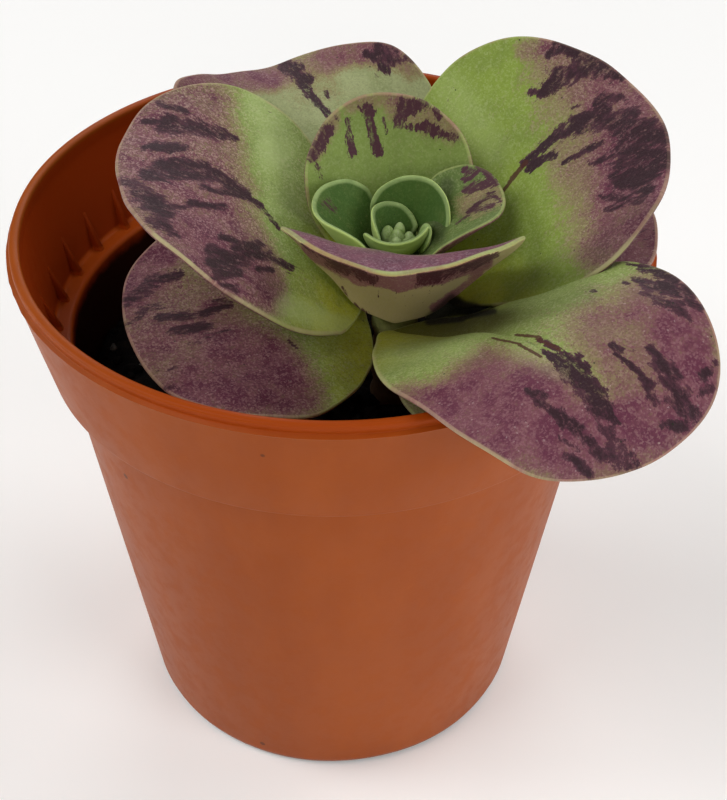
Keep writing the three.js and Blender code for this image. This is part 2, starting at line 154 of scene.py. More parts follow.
# Leaf colours. Each dark colour is the skin, and its pale one the grains of down on it.
FOOT_GREEN = "a3a52c"
LEAF_GREEN = "8b9c50"
LEAF_PALE = "c0c894"
DEEP_GREEN = "67773a"
CORE_GREEN = "426024"
CORE_PALE = "8aa45e"
TAN = "8a7e54"
BROWN = "7c5e50"
MAUVE = "764450"
PURPLE = "642e42"
TAN_PALE = "bfac8e"
MAUVE_PALE = "b58e8c"
MAROON = "4e2a36"
MAROON_DARK = "321a22"
MAROON_PALE = "74565a"
INNER_MAROON = "4c2c34"
CREAM = "b99d80"
LIME_EDGE = "a9b26f"
CORE_EDGE = "b4ca84"
PINK_EDGE = "a8766c"
RIM_CREAM = "b4ac7c"
UNDER_GREEN = "a09c62"
UNDER_PURPLE = "6c3a48"
CORE_UNDER_LIT = "c0d47e"
CORE_FOOT_SHADED = "3c5016"
SHADE_OLIVE = "100e04"
CREASE_SHADE_OLIVE = "46440e"
GRAIN_SHADE_OLIVE = "2c2a1c"
SPECK_OLIVE = "23261a"
THREAD_RED = "4c241a"
HIGHLIGHT_GREEN = "c2d48c"
GLINT = "d8c4bc"

# The front leaf shows its lower face, and its upper face is purple
FRONT_EDGE = "b3a062"
FRONT_UNDER = "ccbc86"
FRONT_UNDER_PALE = "d0bc98"
FRONT_BAND = "a0666e"
FRONT_BLOTCH = "5a2a34"
FRONT_FACE = "7a4054"
FRONT_FACE_DARK = "5c2e42"
FRONT_FACE_PALE = "b898a4"

# Colours of the pot, the soil, the stem, the bud and the floor
PLASTIC = "964612"
PLASTIC_WARM = "9e4c16"
PLASTIC_DUSTY = "ac5f32"
PLASTIC_SPECKLE = "7e3e1e"
PLASTIC_INSIDE_SHADE = "a0390a"
PLASTIC_LIT_LIP = "9c3c04"
PLASTIC_LIT_LEDGE = "d05e18"
PLASTIC_DEEP_SHADE = "120805"
PLASTIC_SPECK = "4a2410"
SOIL_DARK = "060403"
SOIL_BROWN = "1e1712"
GRAIN_GREY = "4e4b46"
GRAIN_PALE = "8f8b83"
STEM_BROWN = "5a4a2c"
STEM_GREEN = "7d8540"
STEM_FIBRE = "3b3320"
BUD_GREEN = "80984e"
BUD_PALE = "aabe7e"
BUD_DOWN = "bcc4a0"
FLOOR_GREY = "f4f3f1"
FLOOR_WHITE = "fbfaf8"
WHITE = (1.0, 1.0, 1.0, 1.0)

# The leaves have the solids' names and numbers. heading, around, turn, rise, arch, roll, twist, cup
# and wave_start are in degrees. base, reach, length, width, wave, crease and crease_width are in
# millimetres. grainy is how downy the green and the flushed skin are. painted is 1 where the marks are
# on the upper face and -1 where they are on the lower one.
# The marks are strokes of the photograph's picture points, each from one place to another with a half
# width and a strength, and they fall on the blade from the camera. stains are the dark blotches,
# threads the thin red veins, rims the pale stretches of the margin, blushes the flushed parts, shades
# the painted shade of places in shade, near black in the deep gaps between the leaves, and glows the
# painted highlights of places where light falls on the blade and shines through it.
LEAVES = {
    "leaf_core_front": dict(blade=SMALL, base=49.7, reach=1.3, heading=-91, rise=(59, 54), roll=5,
                            length=2.8, width=7.2, cup=70, neck=(0.48, 0.52), lean=0.03,
                            grainy=(0.25, 0.3), green=CORE_GREEN),
    "leaf_core_left": dict(blade=SMALL, base=49.0, reach=0.9, heading=131, rise=(58, 77), roll=9,
                           length=4.2, width=5.8, cup=85, neck=(0.5, 0.5), belly=0.35, lean=-0.18,
                           grainy=(0.25, 0.3), green=CORE_GREEN),
    "leaf_core_right": dict(blade=SMALL, base=49.8, reach=1.8, heading=-9, rise=(58, 72), roll=13,
                            length=2.4, width=2.9, cup=18, neck=(0.5, 0.5),
                            grainy=(0.25, 0.3), green=CORE_PALE),
    "leaf_core_back": dict(blade=SMALL, base=48.2, reach=1.3, heading=52, turn=1, rise=(53, 88), roll=8,
                           twist=1, length=7.2, width=8.5, cup=55, neck=(0.5, 0.5), belly=0.53, lean=0.02,
                           grainy=(0.2, 0.3), green=CORE_GREEN),
    "leaf_inner_right": dict(
        blade=SMALL, base=49.8, reach=1.8, heading=-2, rise=(44, 30), roll=8, length=8.8, width=11,
        cup=47, neck=(0.4, 0.4), belly=0.49, lean=-0.06,
        stains=[(465, 170, 475, 172, 4, 0.8), (478, 167, 490, 172, 3.5, 0.9), (485, 172, 492, 180, 3, 0.9),
                (464, 180, 472, 177, 3, 0.7), (466, 190, 482, 186, 4, 0.9), (480, 186, 495, 182, 4, 0.9),
                (489, 194, 500, 200, 2, 0.8), (468, 212, 482, 201, 2, 0.8), (480, 202, 494, 193, 2.5, 0.8),
                (476, 211, 492, 206, 4, 0.6), (456, 224, 470, 214, 1.5, 0.7)],
        blushes=[(470, 205, 492, 195, 14, 0.45)],
        grainy=(0.4, 0.8), green="5e7236",
        shades=[(438, 238, 447, 185, 9, 0.5), (462, 216, 494, 194, 7, 0.3)]),
    "leaf_inner_left": dict(
        blade=SMALL, base=47.7, reach=1.9, heading=179, rise=(51, 51), length=8.2, width=11.1,
        cup=62, neck=(0.4, 0.4), belly=0.52,
        stains=[(326, 203, 333, 208, 5, 0.55)],
        grainy=(0.3, 0.4), green=CORE_GREEN),
    "leaf_inner_back": dict(
        blade=MEDIUM, base=46, reach=1.9, heading=94, turn=-3, rise=(43, 79), arch=2, roll=-4,
        length=15.5, width=16, cup=45, neck=(0.4, 0.4), belly=0.5,
        stains=[(311, 158, 319, 146, 5, 0.95), (319, 146, 328, 130, 6.5, 1), (318, 165, 322, 178, 3.5, 0.5),
                (347, 119, 349, 134, 3, 0.8), (349, 138, 353, 152, 4.5, 0.9), (366, 107, 373, 112, 4, 0.8),
                (368, 113, 373, 135, 4, 1), (373, 135, 379, 153, 4.5, 0.95), (383, 118, 387, 132, 2, 0.7),
                (399, 121, 404, 104, 6, 1), (403, 112, 420, 104, 7, 1), (410, 104, 426, 104, 4, 0.9),
                (402, 126, 428, 128, 4, 0.7), (424, 126, 440, 133, 5.5, 0.85), (435, 110, 440, 118, 3.5, 0.8),
                (440, 134, 456, 139, 4, 0.6), (336, 117, 340, 121, 2, 0.6), (357, 105, 361, 110, 2.5, 0.6)],
        blushes=[(312, 150, 330, 120, 12, 0.5), (400, 108, 450, 125, 16, 0.45), (350, 105, 400, 96, 10, 0.4)],
        grainy=(0.35, 0.5), green="82964a"),
    "leaf_front": dict(
        blade=MEDIUM, base=43.8, reach=2.6, heading=-92, turn=-6, rise=(87, 15), arch=-6, roll=-6,
        twist=7, length=21, width=19.6, cup=23, neck=(0.15, 0.2), belly=0.65, blunt=1.4, lean=0.04,
        painted=-1,
        stains=[(303, 243, 314, 250, 2.5, 0.9), (318, 250, 330, 259, 3.5, 0.9), (330, 262, 346, 271, 4, 1),
                (346, 264, 362, 275, 5, 1), (362, 277, 376, 280, 4, 0.8), (422, 279, 436, 276, 6.5, 1),
                (444, 271, 452, 267, 6.5, 0.95), (462, 266, 474, 262, 6, 1), (474, 264, 486, 258, 5, 1),
                (487, 259, 497, 255, 3.5, 0.8), (342, 288, 347, 296, 1.4, 0.9),
                (354, 305, 371, 319, 2.2, 0.9), (378, 291, 379, 297, 0.9, 0.6),
                (396, 291, 396, 298, 0.9, 0.6)],
        blushes=[(310, 250, 360, 276, 10, 1), (360, 277, 400, 284, 8, 1), (400, 284, 440, 276, 8.5, 1),
                 (440, 276, 486, 262, 8, 1), (434, 308, 452, 297, 6, 0.8), (450, 297, 480, 274, 5, 0.7)],
        grainy=(0.6, 0.5), shades=[(424, 323, 452, 298, 5, 0.7)]),
    "leaf_right": dict(
        blade=LARGE, base=46, reach=2.4, heading=22, turn=7, rise=(40, 36), arch=5, roll=6, twist=2,
        length=24, width=29, cup=23, neck=(0.35, 0.25), lean=-0.1,
        threads=[(504, 190, 513, 178, 1.6, 1), (512, 179, 526, 162, 2.2, 1)],
        rims=[(664, 205, 640, 240, 6, 0.5), (640, 240, 600, 272, 7, 0.9), (600, 272, 500, 306, 7, 0.6)],
        stains=[(523, 164, 541, 149, 3.6, 1),
                (529, 169, 536, 161, 4, 0.95), (536, 163, 552, 156, 4.5, 0.95), (541, 149, 560, 133, 4.5, 1),
                (560, 132, 580, 124, 7, 1), (575, 122, 600, 117, 7, 1), (580, 127, 602, 124, 7, 1),
                (598, 104, 606, 112, 7, 0.95), (600, 98, 622, 97, 5, 0.8), (604, 118, 634, 114, 7, 0.8),
                (606, 122, 650, 128, 9, 1), (622, 132, 660, 138, 11, 1), (626, 150, 662, 158, 12, 1),
                (625, 168, 650, 170, 12, 1), (618, 178, 646, 188, 9, 1), (612, 198, 640, 200, 5, 0.8),
                (606, 210, 622, 206, 3.5, 0.8), (563, 163, 577, 156, 2.5, 1), (577, 156, 592, 146, 3, 1),
                (585, 151, 602, 142, 3.5, 0.8), (590, 164, 606, 158, 3, 0.8), (600, 160, 616, 154, 2.5, 0.7),
                (549, 55, 560, 50, 4.5, 0.9), (562, 47, 590, 60, 8, 1), (584, 62, 606, 70, 9, 1),
                (600, 72, 622, 77, 4, 0.85), (556, 74, 586, 70, 8, 1), (545, 86, 566, 78, 7, 0.95),
                (533, 93, 552, 90, 5, 0.9), (572, 108, 580, 106, 2.5, 0.7), (600, 196, 606, 199, 2, 0.8)],
        blushes=[(524, 50, 558, 43, 11, 0.5), (575, 62, 640, 95, 32, 0.62), (612, 112, 660, 140, 36, 0.8),
                 (628, 170, 660, 185, 38, 0.95), (620, 215, 650, 210, 34, 0.82),
                 (600, 252, 625, 235, 20, 0.7), (556, 70, 572, 150, 34, 0.36),
                 (582, 175, 592, 240, 32, 0.38)],
        grainy=(0.5, 0.9), green="859a3c",
        shades=[(480, 296, 590, 262, 22, 0.34), (614, 240, 648, 212, 20, 0.34),
                (436, 316, 455, 302, 7, 1), (455, 304, 474, 309, 6, 1), (474, 309, 490, 309, 4, 0.9)],
        glows=[(450, 90, 490, 150, 22, 0.3)]),
    "leaf_left": dict(
        blade=LARGE, base=44.4, reach=2.4, heading=173, turn=7, rise=(35, 9), arch=16, roll=-7, twist=8,
        length=25, width=28, cup=16, neck=(0.35, 0.25), belly=0.65, blunt=2.0, lean=0.05,
        stains=[(160, 166, 182, 164, 7, 0.95), (146, 174, 188, 174, 7, 0.95), (178, 166, 205, 166, 6, 1),
                (185, 174, 216, 175, 6, 1), (210, 172, 232, 184, 5.5, 1), (228, 184, 246, 194, 5, 1),
                (244, 194, 262, 206, 2.6, 1), (261, 205, 279, 229, 1.5, 1), (201, 187, 222, 193, 2.6, 0.9),
                (222, 190, 243, 197, 3, 0.85), (142, 122, 160, 121, 3, 0.8), (160, 128, 180, 131, 4, 0.95),
                (166, 122, 200, 128, 7, 1), (196, 128, 222, 134, 5.5, 1), (218, 131, 236, 139, 2.6, 0.95),
                (165, 106, 186, 111, 3, 0.8), (158, 102, 170, 106, 3, 0.7), (142, 149, 156, 144, 3, 0.9),
                (152, 148, 178, 146, 4.2, 0.95), (170, 151, 187, 147, 2.8, 0.9),
                (122, 181, 148, 190, 4.5, 0.85), (138, 190, 158, 204, 9, 0.95),
                (146, 206, 168, 214, 8, 0.95), (150, 218, 170, 230, 6, 0.8), (164, 230, 180, 237, 2.6, 0.8),
                (163, 206, 184, 208, 2.6, 0.85), (190, 203, 224, 207, 3.6, 0.95),
                (220, 236, 238, 243, 3.5, 0.95), (236, 248, 258, 246, 5.5, 1),
                (245, 254, 268, 256, 4.5, 1), (262, 254, 291, 268, 3.4, 1),
                (210, 249, 228, 256, 5, 0.95), (214, 262, 236, 262, 8, 1), (218, 274, 238, 272, 6, 0.95),
                (234, 256, 246, 262, 5, 0.9), (222, 284, 238, 290, 4, 0.7), (259, 269, 272, 270, 3, 0.95)],
        blushes=[(150, 120, 200, 105, 34, 0.8), (145, 150, 200, 150, 36, 0.7), (140, 190, 205, 205, 42, 0.85),
                 (178, 228, 200, 238, 34, 0.75), (205, 255, 245, 270, 32, 0.95),
                 (235, 285, 262, 290, 22, 0.7), (225, 150, 235, 215, 24, 0.36),
                 (250, 235, 272, 305, 18, 0.5)],
        rims=[(156, 234, 190, 263, 5, 0.7), (190, 263, 206, 276, 5, 0.5), (238, 299, 300, 328, 5, 0.5),
              (300, 328, 345, 338, 6, 0.6), (205, 84, 270, 106, 5, 0.4), (270, 106, 306, 140, 5, 0.6)],
        grainy=(0.9, 1.3), green="889a4e",
        shades=[(318, 262, 340, 300, 12, 0.25), (150, 112, 212, 98, 20, 0.16)],
        glows=[(262, 100, 280, 150, 20, 0.47), (266, 150, 280, 205, 14, 0.28), (292, 176, 300, 220, 8, 0.25),
               (288, 306, 345, 328, 14, 0.45)]),
    "leaf_back": dict(
        blade=LARGE, base=44.2, reach=2.4, heading=109, turn=12, rise=(32, 3), arch=4, roll=-1, twist=-4,
        length=27, width=26, cup=33, neck=(0.35, 0.35), belly=0.6, blunt=2.2, lean=0.2, wave=-2,
        wave_start=-75,
        stains=[(284, 66, 300, 68, 6, 1), (292, 72, 310, 79, 5, 1), (300, 80, 308, 92, 4.2, 1),
                (307, 91, 318, 103, 4.2, 1), (317, 102, 329, 116, 3, 1), (366, 54, 376, 58, 4, 0.9),
                (380, 53, 392, 60, 6, 0.9), (380, 64, 388, 72, 4, 0.85), (404, 56, 416, 62, 3, 0.6),
                (326, 92, 328, 97, 2.4, 0.8), (378, 46, 396, 50, 4, 0.8)],
        blushes=[(185, 82, 270, 78, 14, 0.85), (270, 76, 330, 58, 14, 0.6), (330, 56, 390, 48, 15, 0.8),
                 (390, 56, 415, 66, 14, 0.5), (300, 90, 320, 84, 20, 0.25)],
        grainy=(0.5, 0.7), green="9ca272"),
    "leaf_over_rim": dict(
        blade=LARGE, base=44.2, reach=2.4, around=-101, heading=-59, turn=3.4, rise=(11, -61), arch=52,
        roll=-3.7, twist=25.3, length=34.8, width=21.8, cup=2, neck=(0.03, 0.11), belly=0.58, blunt=2.4,
        lean=0.1, crease=1.3, crease_width=3.2,
        threads=[(516, 335, 540, 337, 1.4, 1), (492, 338, 520, 344, 1.0, 1), (520, 345, 540, 356, 1.3, 1),
                 (536, 338, 560, 350, 1.6, 1)],
        rims=[(378, 345, 382, 388, 6, 0.4), (382, 388, 400, 408, 6, 0.7), (400, 408, 505, 466, 6, 0.7)],
        stains=[(540, 340, 550, 342, 2.2, 0.8), (548, 344, 562, 352, 3, 0.95), (543, 351, 560, 364, 2.6, 1),
                (558, 356, 578, 358, 5, 1), (562, 366, 586, 368, 6.5, 1), (570, 376, 592, 384, 7.5, 1),
                (584, 386, 602, 394, 7.5, 1), (592, 400, 608, 408, 6.5, 1), (594, 412, 610, 417, 4, 0.9),
                (604, 402, 618, 424, 3, 1), (616, 424, 626, 446, 3.4, 0.9), (624, 446, 634, 468, 3, 0.8),
                (527, 391, 545, 396, 4.6, 1), (538, 402, 550, 408, 4.2, 1), (550, 409, 566, 420, 4.4, 1),
                (562, 422, 580, 428, 5, 1), (576, 432, 590, 442, 4, 0.9), (560, 438, 574, 448, 3, 0.8),
                (586, 440, 604, 456, 6, 0.9), (566, 456, 584, 464, 4, 0.9), (578, 466, 590, 474, 5, 0.9),
                (600, 428, 616, 440, 6, 0.6), (606, 446, 622, 466, 8, 0.62), (632, 452, 640, 468, 4, 0.5),
                (612, 345, 622, 350, 3.6, 1), (616, 354, 630, 364, 2.2, 0.9), (630, 364, 644, 378, 2.6, 0.9),
                (640, 374, 650, 386, 4, 0.9), (646, 388, 656, 402, 4, 0.8), (650, 348, 662, 360, 4, 0.9),
                (658, 362, 676, 378, 6, 1), (668, 380, 682, 396, 7.5, 1), (670, 400, 692, 412, 8, 0.9),
                (664, 424, 684, 428, 5, 0.85), (702, 376, 714, 366, 5, 0.8), (702, 392, 712, 386, 4.5, 0.8),
                (642, 268, 662, 272, 4.6, 1), (656, 274, 676, 278, 4, 0.95), (626, 264, 640, 266, 1.3, 0.9),
                (634, 279, 650, 283, 2.6, 0.95), (648, 288, 672, 286, 6, 1), (664, 292, 690, 292, 6, 1),
                (640, 293, 656, 298, 2.6, 0.95), (656, 300, 680, 306, 5.5, 1), (676, 308, 690, 320, 4, 0.85),
                (686, 300, 700, 308, 4, 0.8), (622, 282, 628, 283, 1.4, 0.9), (592, 291, 596, 291, 1.3, 0.9)],
        blushes=[(405, 402, 470, 418, 20, 0.8), (460, 400, 525, 428, 32, 0.95), (500, 420, 580, 450, 46, 1),
                 (490, 370, 545, 385, 26, 0.8), (560, 405, 600, 430, 26, 0.75), (600, 440, 640, 455, 30, 0.7),
                 (610, 330, 650, 400, 40, 0.66), (680, 330, 700, 400, 36, 1), (650, 300, 690, 300, 30, 0.75),
                 (640, 420, 680, 430, 34, 0.7), (560, 330, 600, 330, 24, 0.2)],
        grainy=(0.8, 0.6),
        shades=[(428, 322, 462, 319, 3.5, 1), (462, 318, 494, 311, 3, 0.9), (494, 322, 590, 296, 11, 0.3)],
        glows=[(390, 355, 470, 350, 12, 0.25), (520, 350, 560, 372, 12, 0.25)]),
    "leaf_under_right": dict(
        blade=LARGE, base=43.2, reach=2.4, heading=0, rise=(36, 14), arch=-1, roll=2, twist=2,
        length=21.5, width=19, cup=14, neck=(0.3, 0.3),
        stains=[(640, 230, 650, 245, 6, 0.4)],
        blushes=[(600, 200, 650, 270, 90, 1)],
        grainy=(0.6, 0.6), shades=[(430, 322, 456, 302, 10, 1), (456, 308, 494, 312, 9, 1)]),
    "leaf_under_left": dict(
        blade=LARGE, base=42.4, reach=2.4, heading=-166, turn=-3, rise=(22, -4), arch=1, roll=-8, twist=3,
        length=21.5, width=25.5, cup=8, neck=(0.3, 0.35), belly=0.5, blunt=2.2, lean=0.1,
        stains=[(148, 280, 180, 274, 5, 0.85), (128, 300, 150, 286, 7, 0.8), (160, 318, 205, 314, 4.5, 0.9),
                (205, 313, 230, 304, 4, 0.9), (172, 332, 208, 326, 5, 0.8), (214, 302, 226, 300, 3, 0.8),
                (124, 328, 140, 318, 5, 0.6), (140, 310, 160, 305, 5, 0.6), (160, 372, 176, 368, 4, 0.55),
                (165, 388, 178, 388, 3, 0.55), (190, 345, 230, 330, 4, 0.5), (288, 340, 300, 352, 1.6, 0.6)],
        blushes=[(130, 290, 160, 255, 26, 1), (130, 330, 200, 300, 40, 0.65), (150, 370, 220, 340, 45, 0.7),
                 (200, 390, 280, 385, 36, 1), (230, 360, 260, 360, 34, 0.9), (280, 400, 310, 400, 20, 0.5)],
        grainy=(1.0, 1.0), shades=[(170, 330, 260, 385, 50, 0.22)]),
    "leaf_under_front": dict(
        blade=MEDIUM, base=39.6, reach=2.4, heading=-51, turn=-2, rise=(-1, 12), arch=-3, roll=1, twist=2,
        length=13.5, width=11.5, cup=14, neck=(0.3, 0.3),
        blushes=[(400, 390, 430, 420, 20, 0.4)]),
}
CORE_LEAVES = ("leaf_core_front", "leaf_core_left", "leaf_core_right", "leaf_core_back")

LEAF_DEFAULTS = dict(turn=0, arch=0, roll=0, twist=0, belly=0.55, blunt=2.1, lean=0, wave=0, wave_start=0,
                     crease=0.2, crease_width=1.2, painted=1, grainy=(0.9, 1.0), green=LEAF_GREEN, stains=(),
                     threads=(), rims=(), blushes=(), shades=(), glows=())


def linear(code):
    """A six-digit colour as linear red, green, blue and alpha."""
    parts = [int(code[i:i + 2], 16) / 255 for i in (0, 2, 4)]
    return tuple(p / 12.92 if p <= 0.04045 else ((p + 0.055) / 1.055) ** 2.4 for p in parts) + (1.0,)


# Materials
class Wire:
    """A value on its way through a finish. Arithmetic on it adds Math nodes."""

    def __init__(self, finish, socket):
        self.finish = finish
        self.socket = socket

    def combine(self, operation, first, second):
        return self.finish.add("ShaderNodeMath", {"operation": operation}, [first, second])

    def __add__(self, other):
        return self.combine("ADD", self, other)

    def __radd__(self, other):
        return self.combine("ADD", other, self)

    def __sub__(self, other):
        return self.combine("SUBTRACT", self, other)

    def __rsub__(self, other):
        return self.combine("SUBTRACT", other, self)

    def __mul__(self, other):
        return self.combine("MULTIPLY", self, other)

    def __rmul__(self, other):
        return self.combine("MULTIPLY", other, self)


class Finish:
    """A material that is built up around one Principled shader."""

    def __init__(self, name):
        self.material = bpy.data.materials.new(name)
        self.material.use_nodes = True
        self.tree = self.material.node_tree
        self.tree.nodes.clear()
        output = self.tree.nodes.new("ShaderNodeOutputMaterial")
        self.shader = self.tree.nodes.new("ShaderNodeBsdfPrincipled")
        self.tree.links.new(self.shader.outputs["BSDF"], output.inputs["Surface"])

    def plug(self, socket, value):
        if isinstance(value, Wire):
            self.tree.links.new(value.socket, socket)
        else:
            socket.default_value = value

    def add(self, kind, settings, sockets, output=0):
        """One node: its settings first, then the values or wires of its sockets."""
        node = self.tree.nodes.new(kind)
        for name, value in settings.items():
            setattr(node, name, value)
        pairs = sockets.items() if isinstance(sockets, dict) else enumerate(sockets)
        for key, value in pairs:
            self.plug(node.inputs[key], value)
        return Wire(self, node.outputs[output])

    def band(self, value, low, high):
        """0 at low, 1 at high, and a smooth step between them. Low may be the larger of the two."""
        settings = {"interpolation_type": "SMOOTHSTEP"}
        return self.add("ShaderNodeMapRange", settings, {"Value": value, "From Min": low, "From Max": high})

    def mix(self, amount, first, second):
        """The first colour, turning to the second as the amount goes from 0 to 1."""
        return self.add("ShaderNodeMix", {"data_type": "RGBA"}, {0: amount, 6: first, 7: second}, 2)

    def point(self, x, y, z):
        return self.add("ShaderNodeCombineXYZ", {}, [x, y, z])

    def cloud(self, where, scale, detail=2.0, rough=0.5):
        sockets = {"Vector": where, "Scale": scale, "Detail": detail, "Roughness": rough}
        return self.add("ShaderNodeTexNoise", {}, sockets)

    def cells(self, where, scale):
        return self.add("ShaderNodeTexVoronoi", {}, {"Vector": where, "Scale": scale})

    def lots(self, where, scale):
        """Small cells that each draw a colour of their own."""
        return self.add("ShaderNodeTexVoronoi", {}, {"Vector": where, "Scale": scale}, "Color")

    def axis(self, vector, name):
        return self.add("ShaderNodeSeparateXYZ", {}, [vector], name)

    def store(self, name):
        """A value that the mesh keeps for each of its points."""
        return self.add("ShaderNodeAttribute", {"attribute_name": name}, {}, "Fac")

    def relief(self, height, depth, strength=1.0):
        return self.add("ShaderNodeBump", {}, {"Strength": strength, "Distance": depth, "Height": height})

    def finish(self, **sockets):
        for name, value in sockets.items():
            self.plug(self.shader.inputs[name.replace("_", " ")], value)
        return self.material


def leaf_finish(name, leaf, seed):
    """A downy blade: green at its foot, flushed and blotched towards its edge, with a pale margin, painted
    highlights and painted shade.
    """
    f = Finish(name)
    core = name in CORE_LEAVES or name == "leaf_inner_left"
    shows_under = leaf["painted"] < 0
    unrolled = f.add("ShaderNodeUVMap", {"uv_map": "unrolled"}, {})
    x = f.axis(unrolled, "X") * UNROLLED
    y = (f.axis(unrolled, "Y") - 0.5) * UNROLLED
    foot = x + VEIN_ROOT
    fan = f.add("ShaderNodeMath", {"operation": "ARCTAN2"}, [y, foot])
    spread = f.add("ShaderNodeMath", {"operation": "SQRT"}, [foot * foot + y * y])
    veins = f.cloud(f.point(fan * 16.0, spread * 0.2, seed * 3.7), 1.0, 3.0, 0.6)
    ragged = f.cloud(f.point(fan * 60.0, spread * 0.9, seed * 1.3), 1.0, 4.0, 0.75)
    streaks = f.cloud(f.point(fan * 36.0, spread * 0.4, seed * 2.1), 1.0, 4.0, 0.7)
    flat = f.point(x, y, seed * 5.1)
    grain = f.cloud(flat, 3.4, 4.0, 0.75)
    patchy = f.cloud(flat, 0.45, 3.0, 0.55)
    sand = f.lots(flat, 8.0)
    lot = f.axis(sand, "X")
    other_lot = f.axis(sand, "Y")
    grit = f.axis(f.lots(flat, 4.2), "X")
    margin = f.store("margin")
    facing = f.store("facing")
    stain = f.store("stain")
    thread = f.store("thread")
    blush = f.store("blush")
    tone = f.store("tone")
    grain_low, grain_high = leaf["grainy"]
    strength = grain_low + (grain_high - grain_low) * f.band(blush, 0.2, 0.75)

    # Upper face: each colour has its dark skin and its pale grains
    foot_tint = f.band(x + (patchy - 0.5) * 3.0, 0.05 * leaf["length"], 0.42 * leaf["length"])
    # The small leaves' feet are a darker green, partly their own colour and partly painted shade deep in the
    # rosette
    foot_green = CORE_FOOT_SHADED if leaf["blade"] is SMALL else FOOT_GREEN
    green = f.mix(foot_tint, linear(foot_green), linear(leaf["green"]))
    green = f.mix(f.band(patchy + (veins - 0.5) * 0.4, 0.4, 0.75) * 0.3, green, linear(DEEP_GREEN))
    speckle = ((grain - 0.5) * 0.8 + (lot - 0.5) * 0.26 + (grit - 0.5) * 0.2) * (0.4 + 0.6 * strength)
    flush = blush + speckle + (veins - 0.5) * 0.5
    skin = f.mix(f.band(flush, 0.06, 0.42), green, linear(TAN))
    skin = f.mix(f.band(flush, 0.36, 0.72), skin, linear(BROWN))
    skin = f.mix(f.band(flush + (patchy - 0.5) * 0.8, 0.6, 0.95), skin, linear(MAUVE))
    skin = f.mix(f.band(blush + (patchy - 0.5) * 1.6, 0.85, 1.15), skin, linear(PURPLE))
    flushed = f.band(flush, 0.2, 0.75)
    down = f.mix(flushed, linear(CORE_PALE if core else LEAF_PALE), linear(TAN_PALE))
    down = f.mix(f.band(blush, 0.65, 1.05), down, linear(MAUVE_PALE))
    frosting = f.band(other_lot * 0.55 + grit * 0.3 + (grain - 0.5) * 1.4, 0.34, 0.86)
    upper = f.mix(frosting * strength * (0.14 + 0.3 * foot_tint), skin, down)
    # Painted shade: the hollows between the grains of down darken towards olive
    shading = f.band((0.5 - grain) * 1.7 + (0.5 - other_lot) * 0.6, 0.05, 0.42)
    upper = f.mix(shading * strength * 0.26, upper, linear(GRAIN_SHADE_OLIVE))
    # Painted highlights: where light falls on the blade and shines through it, the skin turns a pale glowing
    # green
    upper = f.mix(f.band(tone, 0.0, 1.0) * 0.8, upper, linear(HIGHLIGHT_GREEN))
    edge_noise = (veins - 0.5) * 0.9 + (ragged - 0.5) * 1.9 + (grain - 0.5) * 0.5 + (lot - 0.5) * 0.12
    gaps = f.band(streaks + (grain - 0.5) * 0.6, 0.52, 0.7)
    blotch = f.band(stain + edge_noise, 0.42, 0.58) * (1.0 - gaps * 0.6)
    deep = linear(MAROON_DARK if leaf["blade"] is LARGE else INNER_MAROON)
    dark = f.mix(f.band(stain + edge_noise + (patchy - 0.5) * 0.8, 0.5, 0.95), linear(MAROON), deep)
    dark = f.mix(frosting * 0.07, dark, linear(MAROON_PALE))
    # Painted glints: tiny highlights scattered over the flushed skin
    glints = f.band(lot, 0.99, 0.996) * flushed
    upper = f.mix(glints * 0.24, upper, linear(GLINT))
    upper = f.mix(blotch, upper, dark)
    vein = f.band(thread + (ragged - 0.5) * 1.4 + (grain - 0.5) * 0.9, 0.42, 0.62)
    upper = f.mix(vein * 0.9, upper, linear(THREAD_RED))
    # Painted shade: the far side of a deep crease near the foot is darkened to olive
    if leaf["crease"] > DEEP_CREASE:
        crease_shade_span = f.band(x, 0.57 * leaf["length"], 0.42 * leaf["length"])
        crease_shade = f.band(y, 0.0, 0.08) * f.band(y, 4.4, 2.2) * crease_shade_span
        upper = f.mix(crease_shade * 0.86, upper, linear(CREASE_SHADE_OLIVE))
    specks = f.band(0.06 - f.cells(flat, 0.62), 0.0, 0.02)
    upper = f.mix(specks * 0.85, upper, linear(SPECK_OLIVE))

    # Lower face
    if core:
        # The core leaves' lower faces are pale green, partly their own colour and partly painted light on a
        # face turned from the light
        lower = linear(CORE_UNDER_LIT)
    elif shows_under:
        flushed_band = f.band(blush + speckle * 0.8, 0.4, 0.75)
        lower = f.mix(flushed_band * 0.95, linear(FRONT_UNDER), linear(FRONT_BAND))
        lower = f.mix(frosting * 0.25, lower, linear(FRONT_UNDER_PALE))
        lower = f.mix(blotch * 0.95, lower, linear(FRONT_BLOTCH))
        purple = f.mix(f.band(patchy, 0.2, 0.8), linear(FRONT_FACE), linear(FRONT_FACE_DARK))
        purple = f.mix(frosting * 0.35, purple, linear(FRONT_FACE_PALE))
        outer = f.band(x + (grain - 0.5) * 6.0, 0.35 * leaf["length"], 0.75 * leaf["length"])
        upper = f.mix(outer, green, purple)
    else:
        under_edge = f.band(margin + (veins - 0.5) * 5.0 + (grain - 0.5) * 2.0, 5.5, 1.0)
        lower = f.mix(under_edge * 0.9, linear(UNDER_GREEN), linear(UNDER_PURPLE))
        lower = f.mix(frosting * 0.3, lower, linear(MAUVE_PALE))
    colour = f.mix(f.band(facing, -0.2, 0.3), lower, upper)

